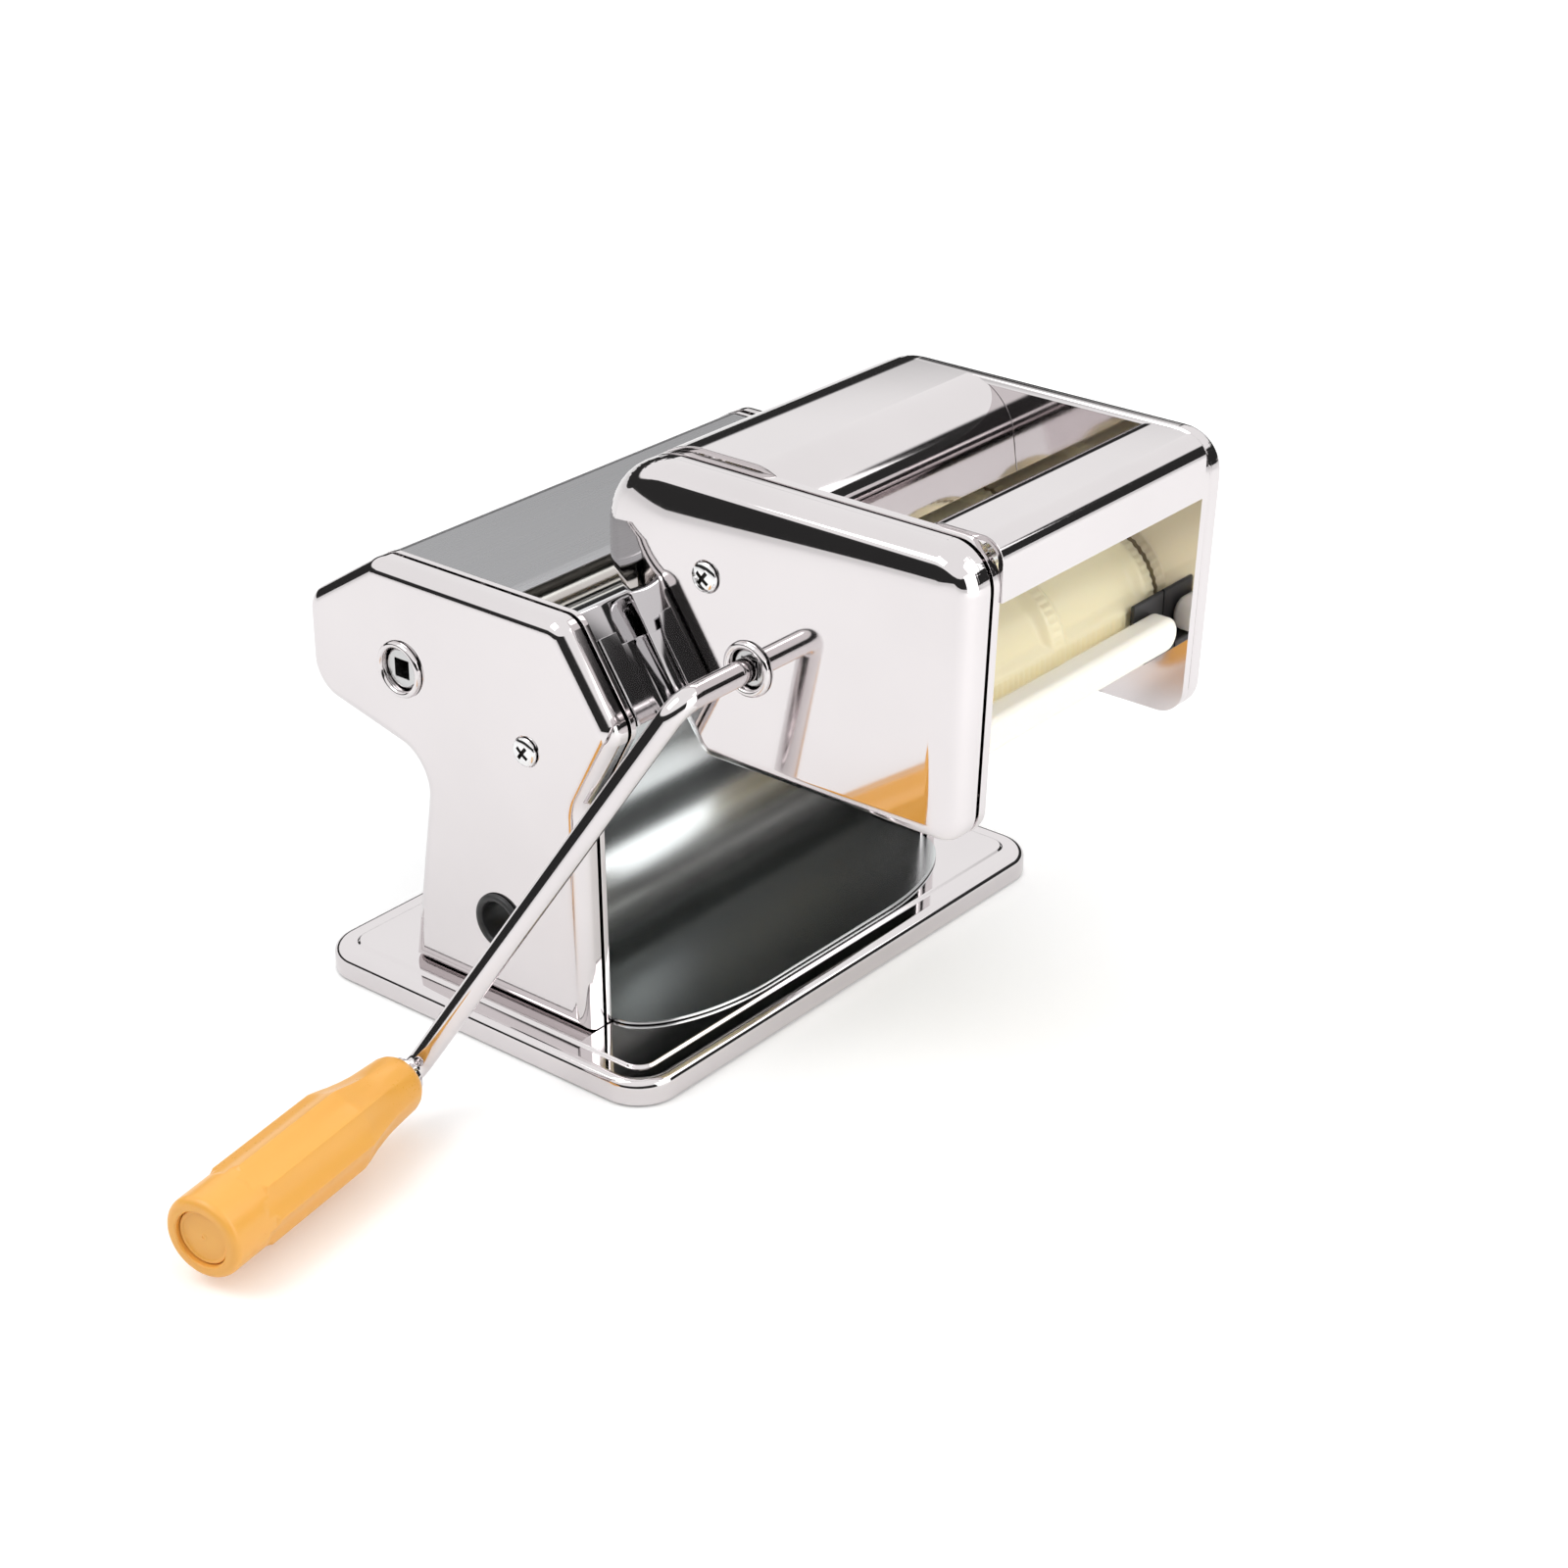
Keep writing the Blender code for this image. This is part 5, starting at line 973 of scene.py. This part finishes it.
# Head hoods: two polished sheets rolled over between the head's plates, with the well open
# between them. Their inner ends turn down towards the rollers.
hood_steel = polished_steel("hood_steel", wave=0.04)
hood_half, hood_wall = 50.5, 1.8
head_sheets = (
    ("rear_hood", [(-26.8, 156.5, 0), (-25.3, 193.0, 26), (-87.3, 193.0, 18), (-91.3, 165.5, 0)], drive_axis),
    ("front_hood", [(-158.0, 173.5, 0), (-158.0, 191.8, 7), (-130.9, 191.8, 9), (-126.9, 165.5, 0)],
     driven_axis))
for name, path, inside in head_sheets:
    hood = shape(name + "_rolled", folded(path, hood_half, inside, 24), hood_steel)
    thicken(hood, hood_wall)
    soften(hood, 0.2)
    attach(hood, "ravioli_head")
    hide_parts(name)


# Hook tabs: polished tongues welded to the head's plates, with one rounded corner each.
# They hang in the guide rails and carry the head.
tab_side, tab_low, tab_high, tab_start, tab_end, tab_corner = 77.1, -2.0, -0.6, 13.0, 34.8, 5.0
tab_steel = polished_steel("tab_steel", (0.76, 0.76, 0.77), (0.66, 0.66, 0.67))
for side, name in ((-1, "near_hook_tab"), (1, "far_hook_tab")):
    corners = [(side * head_in, tab_start, 0), (side * tab_side, tab_start, tab_corner),
               (side * tab_side, tab_end, 0), (side * head_in, tab_end, 0)]
    tab_bm = rounded_face(corners, lambda x, along: on_incline(x, along, tab_low))
    draw_out(tab_bm, tab_bm.faces[:], out * (tab_high - tab_low))
    tab = shape(name + "_cut", tab_bm, tab_steel)
    soften(tab, 0.25)
    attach(tab, "ravioli_head")
    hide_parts(name)


# Exit bar: a flat-faced cream nylon bar across the front, under the rollers, rounded at its
# far end, where a small black clip holds it to the far plate.
bar_low, bar_high = box_of("exit_bar")
bar_end, bar_depth = (bar_high.z - bar_low.z) / 2 - 0.1, 8.0
bar_outline = [(bar_low.x, bar_low.z, 0), (bar_low.x, bar_high.z, 0), (bar_high.x, bar_high.z, bar_end),
               (bar_high.x, bar_low.z, bar_end)]
bar_bm = rounded_face(bar_outline, lambda x, z: (x, bar_high.y, z))
draw_out(bar_bm, bar_bm.faces[:], (0, -bar_depth, 0))
# The bar's nylon is a paler copy of the cream nylon. This is painted light that makes up for the dim light
# the bar gets under the rollers.
bar_nylon_painted_light = cream_nylon("bar_nylon_painted_light", (0.97, 0.93, 0.83), (0.95, 0.90, 0.79), 0.3)
bar = shape("exit_bar_moulded", bar_bm, bar_nylon_painted_light)
soften(bar, 2.0, 5)
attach(bar, "ravioli_head")
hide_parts("exit_bar")

clip_low, clip_high = box_of("bar_clip")
clip_wall, clip_shelf, clip_reach, clip_rise = 1.4, 2.5, 6.0, 4.5
clip_face, clip_top = clip_high.y - clip_wall, clip_high.z + clip_rise
clip_back, clip_step = clip_high.y - clip_reach, clip_low.z + clip_shelf
clip_outline = [(clip_high.y, clip_top, 0.6), (clip_face, clip_top, 0.6), (clip_face, clip_step, 0.5),
                (clip_back, clip_step, 0.5), (clip_back, clip_low.z, 0.8), (clip_high.y, clip_low.z, 0.8)]
clip = shape("bar_clip_moulded", slab(clip_outline, clip_low.x, clip_high.x, 4), black_plastic)
soften(clip, 0.25)
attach(clip, "ravioli_head")
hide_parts("bar_clip")


# Ravioli rollers: moulded cream nylon with two rows of three dished pockets. The ridges
# between the pockets are beaded.
pocket_cells, pocket_length, ridge, pocket_depth, flank = 3, 44.5, 3.4, 2.6, 5.0
bead_pitch, bead_depth, bead_reach = 2.6, 0.55, 0.6
ravioli_radius, ravioli_half, shaft_bore = 21.4, 49.6, 4.9
cell_pitch, cell_turn = pocket_length + ridge, 2 * math.pi / pocket_cells
across, around = 124, 162


def pocket_dip(x, angle):
    """How far the roller's surface lies below its ridges."""
    along = (x + ravioli_half) % cell_pitch
    from_ring = min(abs(along - ridge / 2), abs(cell_pitch + ridge / 2 - along)) - ridge / 2
    from_bar = min(angle % cell_turn, cell_turn - angle % cell_turn) * ravioli_radius - ridge / 2
    from_ridge = min(from_ring, from_bar)
    inside = min(max(from_ridge / flank, 0.0), 1.0)
    dish = pocket_depth * inside * inside * (3 - 2 * inside)
    if from_ridge > bead_reach:
        return dish
    bead_way = angle * ravioli_radius if from_ring < from_bar else x
    return dish + bead_depth * (0.5 - 0.5 * math.cos(2 * math.pi * bead_way / bead_pitch))


def pocketed(x, angle, radius):
    """The drive roller's radius, with its pockets pressed in."""
    if radius < ravioli_radius - 0.1:
        return radius
    return radius - pocket_dip(x, angle % (2 * math.pi))


def facing_pocketed(x, angle, radius):
    """The driven roller's radius. Its pockets face the drive roller's, as in a mirror."""
    return pocketed(x, math.pi - angle, radius)


roller_nylon = cream_nylon("roller_nylon", (0.97, 0.88, 0.62), (0.94, 0.83, 0.55), 0.3)
profile = [(-ravioli_half + 2 * ravioli_half * step / across, ravioli_radius) for step in range(across + 1)]
profile = [(-ravioli_half, shaft_bore)] + profile + [(ravioli_half, shaft_bore)]
for name, body, carve in (("drive_ravioli_roller", "drive_roller", pocketed),
                          ("driven_ravioli_roller", "driven_roller", facing_pocketed)):
    roller_bm = turned(profile, centre_of(name), around, closed=True, carve=carve)
    roller = shape(name + "_moulded", roller_bm, roller_nylon)
    soften(roller, 0.0, keep=math.radians(55))
    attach(roller, body)
    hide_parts(name)


# Ravioli shafts: chromed steel through the rollers. The drive shaft ends in a hub with a
# square socket for the crank, and the driven one runs plain in the plates.
low, high = box_of("drive_shaft")
hub_r, shaft_r, hub_end, hub_break = 5.8, 4.6, -50.0, 0.5
profile = [(low.x, 0), (low.x, hub_r - hub_break), (low.x + hub_break, hub_r), (hub_end, hub_r),
           (hub_end, shaft_r), (high.x, shaft_r), (high.x, 0)]
# The drive shaft's hub takes the same darker hub steel. This is partly painted shade for its mouth inside the
# socket ring.
drive_shaft = shape("drive_shaft_turned", turned(profile, drive_axis, 48), hub_steel_and_painted_shade)
square_socket(drive_shaft, low.x, drive_axis)
soften(drive_shaft, 0.2)
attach(drive_shaft, "drive_roller")
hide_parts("drive_shaft")
refinish(("driven_shaft",), rod_steel)


# Crank rod: 7.5 mm bright bar, bent twice on round formers, with a square end for the
# sockets. The chromed collar stops the grip.
def grow(bm, face):
    """Extrudes a face and gives the new one."""
    grown = bmesh.ops.extrude_face_region(bm, geom=[face])["geom"]
    return next(item for item in grown if isinstance(item, bmesh.types.BMFace))


def bent_bar(places, bends, radius, sides=32):
    """A round bar through the places, spun round a former at each inner one."""
    bm = bmesh.new()
    heading = (places[1] - places[0]).normalized()
    frame_turn = heading.to_track_quat("Z", "Y").to_matrix().to_4x4()
    bmesh.ops.create_circle(bm, cap_ends=True, segments=sides, radius=radius,
                            matrix=Matrix.Translation(places[0]) @ frame_turn)
    face = bm.faces[:][0]
    at = places[0]
    for corner, after, former in zip(places[1:], places[2:], bends):
        coming, going = (corner - at).normalized(), (after - corner).normalized()
        turn = coming.angle(going)
        setback = former * math.tan(turn / 2)
        stop = corner - coming * setback
        face = grow(bm, face)
        bmesh.ops.translate(bm, verts=face.verts, vec=stop - at)
        axis = coming.cross(going).normalized()
        spun = bmesh.ops.spin(bm, geom=[face], axis=axis, cent=stop + axis.cross(coming) * former,
                              angle=turn, steps=18, use_merge=False, use_duplicate=False)
        face = next(item for item in spun["geom_last"] if isinstance(item, bmesh.types.BMFace))
        at = corner + going * setback
    face = grow(bm, face)
    bmesh.ops.translate(bm, verts=face.verts, vec=places[-1] - at)
    bmesh.ops.remove_doubles(bm, verts=bm.verts, dist=0.001)
    walled_in = [face for face in bm.faces if all(len(edge.link_faces) > 2 for edge in face.edges)]
    bmesh.ops.delete(bm, geom=walled_in, context="FACES_ONLY")
    bmesh.ops.recalc_face_normals(bm, faces=bm.faces)
    return bm


crank_steel = polished_steel("crank_steel", wave=0.0)
bar_r, first_bend, knee_bend = 3.75, 9.0, 5.85
crank_start, crank_first = Vector((-63.7, *drive_axis)), Vector((-92.6, *drive_axis))
arm_length, arm_turn, arm_out = 134, math.radians(27.2), 52.0
arm = Vector((-arm_out, arm_length * math.sin(arm_turn), -arm_length * math.cos(arm_turn)))
crank_second = crank_first + arm
grip_tilt, grip_start, grip_length, rod_short = math.radians(10), 7.0, 93.0, 11.0
grip_along = Vector((-math.cos(grip_tilt), -math.sin(grip_tilt), 0))
crank_end = crank_second + grip_along * (grip_start + grip_length - rod_short)
rod_bm = bent_bar([crank_start, crank_first, crank_second, crank_end], [first_bend, knee_bend], bar_r)
crank_rod = shape("crank_rod_bent", rod_bm, crank_steel)
square_half, square_tip, square_lap = 2.6, -51.1, 1.0
square = bmesh.new()
block(square, (crank_start.x - square_lap, drive_axis[0] - square_half, drive_axis[1] - square_half),
      (square_tip, drive_axis[0] + square_half, drive_axis[1] + square_half))
cut(crank_rod, square, "UNION")
soften(crank_rod, 0.3)
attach(crank_rod, "crank")
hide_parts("crank_rod")

grip_place = Matrix.Translation(crank_second + grip_along * grip_start)
grip_frame = grip_place @ Matrix.Rotation(math.pi + grip_tilt, 4, "Z")
collar_bore, collar_radius, collar_back, collar_front = 4.05, 6.35, -2.2, -0.3
profile = [(collar_back, collar_bore), (collar_back, collar_radius), (collar_front, collar_radius),
           (collar_front, collar_bore)]
collar_bm = turned(profile, steps=48, closed=True)
bmesh.ops.transform(collar_bm, matrix=grip_frame, verts=collar_bm.verts)
collar = shape("crank_collar_turned", collar_bm, crank_steel)
soften(collar, 0.4, 3)
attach(collar, "crank")
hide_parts("crank_collar")


# Grip: orange-yellow moulded plastic that spins on the rod. Eight long flutes run into a
# plain end band in scallops, and a flat plug with a gate mark closes the end.
def orange_moulding(name):
    """Semi-gloss moulded plastic with faint flow lines along it."""
    material, shader, place = new_finish(name, 0.3, 0.0)
    shader.inputs["Subsurface Weight"].default_value = 0.1
    shader.inputs["Subsurface Radius"].default_value = (1.0, 0.5, 0.2)
    shader.inputs["Subsurface Scale"].default_value = 1 * MM
    flow = place.stretch(12, 90, 90).noise(1.0)
    grain = place.noise(1300.0, 2.0)
    flow.tint((0.82, 0.39, 0.065), (0.91, 0.47, 0.10)).feed(shader, "Base Color")
    (0.22 + flow * 0.08 + grain * 0.08).feed(shader, "Roughness")
    (grain * 0.01 + flow * 0.02).relief().feed(shader, "Normal")
    return material


grip_orange = orange_moulding("grip_orange")
flutes, flute_depth, grip_sides = 8, 1.25, 160
neck_end, neck_fade, belly = 7.0, 18.0, 32.0
grip_radius, band_radius, band_edge, flute_end, flute_rise = 13.4, 12.6, 75.5, 79.0, 0.22
seat_radius, seat_depth = 8.6, 2.4


def fluted(x, angle, radius):
    """The grip's radius with its flutes: they fade out up the neck and run out at the band."""
    if radius < seat_radius + 0.5 or x > flute_end + 1:
        return radius
    fade = min(max((x - neck_end) / neck_fade, 0.0), 1.0)
    ridge = radius - flute_depth * fade * abs(math.sin(flutes * angle / 2))
    ridge = min(ridge, band_radius + max(0.0, band_edge - x))
    return max(ridge, band_radius - max(0.0, flute_end - x) * flute_rise)


bore_length, grip_bore = grip_length - 9, 4.15
flute_fine, fine_end, fine_steps, coarse_steps = 68.0, flute_end + 0.5, 24, 12
end_round, end_steps, seat_edge = 2.4, 8, 0.4
neck = [(0, 5.8), (0.5, 7.4), (1.2, 8.3), (2.4, 9.0), (4, 9.4), (9, 9.7), (15, 10.1), (19.5, 10.75),
        (24, 11.6), (28, 12.6), (30.5, 13.15)]
rings_at = [belly + (flute_fine - belly) * step / coarse_steps for step in range(coarse_steps)]
rings_at += [flute_fine + (fine_end - flute_fine) * step / fine_steps for step in range(fine_steps + 1)]
rounding = arc((band_radius - end_round, grip_length - end_round), (end_round, end_round), end_steps)
profile = [(bore_length, 0), (bore_length, grip_bore), (0, grip_bore)] + neck
profile += [(x, grip_radius) for x in rings_at] + [(x, radius) for radius, x in rounding]
profile += [(grip_length, seat_radius + seat_edge), (grip_length - seat_edge, seat_radius),
            (grip_length - seat_depth, seat_radius), (grip_length - seat_depth, 0)]
grip_bm = turned(profile, steps=grip_sides, carve=fluted)
bmesh.ops.transform(grip_bm, matrix=grip_frame, verts=grip_bm.verts)
grip = shape("grip_moulded", grip_bm, grip_orange)
soften(grip, 0.0, keep=math.radians(26))
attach(grip, "grip")
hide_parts("grip")

plug_low, plug_radius, plug_edge = grip_length - seat_depth + fit_gap, 8.3, 0.2
plug_high = plug_low + 0.6
mark_floor, mark_top = plug_high - 0.2, plug_high - 0.02
profile = [(mark_floor, 0), (mark_floor, 0.5), (mark_top, 0.65), (mark_top, 1.0), (plug_high - 0.15, 1.2),
           (plug_high - 0.3, 7.2), (plug_high, 7.6), (plug_high, plug_radius - plug_edge),
           (plug_high - plug_edge, plug_radius), (plug_low, plug_radius), (plug_low, 0)]
plug_bm = turned(profile, steps=96)
bmesh.ops.transform(plug_bm, matrix=grip_frame, verts=plug_bm.verts)
plug = shape("grip_plug_moulded", plug_bm, grip_orange)
soften(plug, 0.0)
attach(plug, "grip")
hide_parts("grip_end_plug")
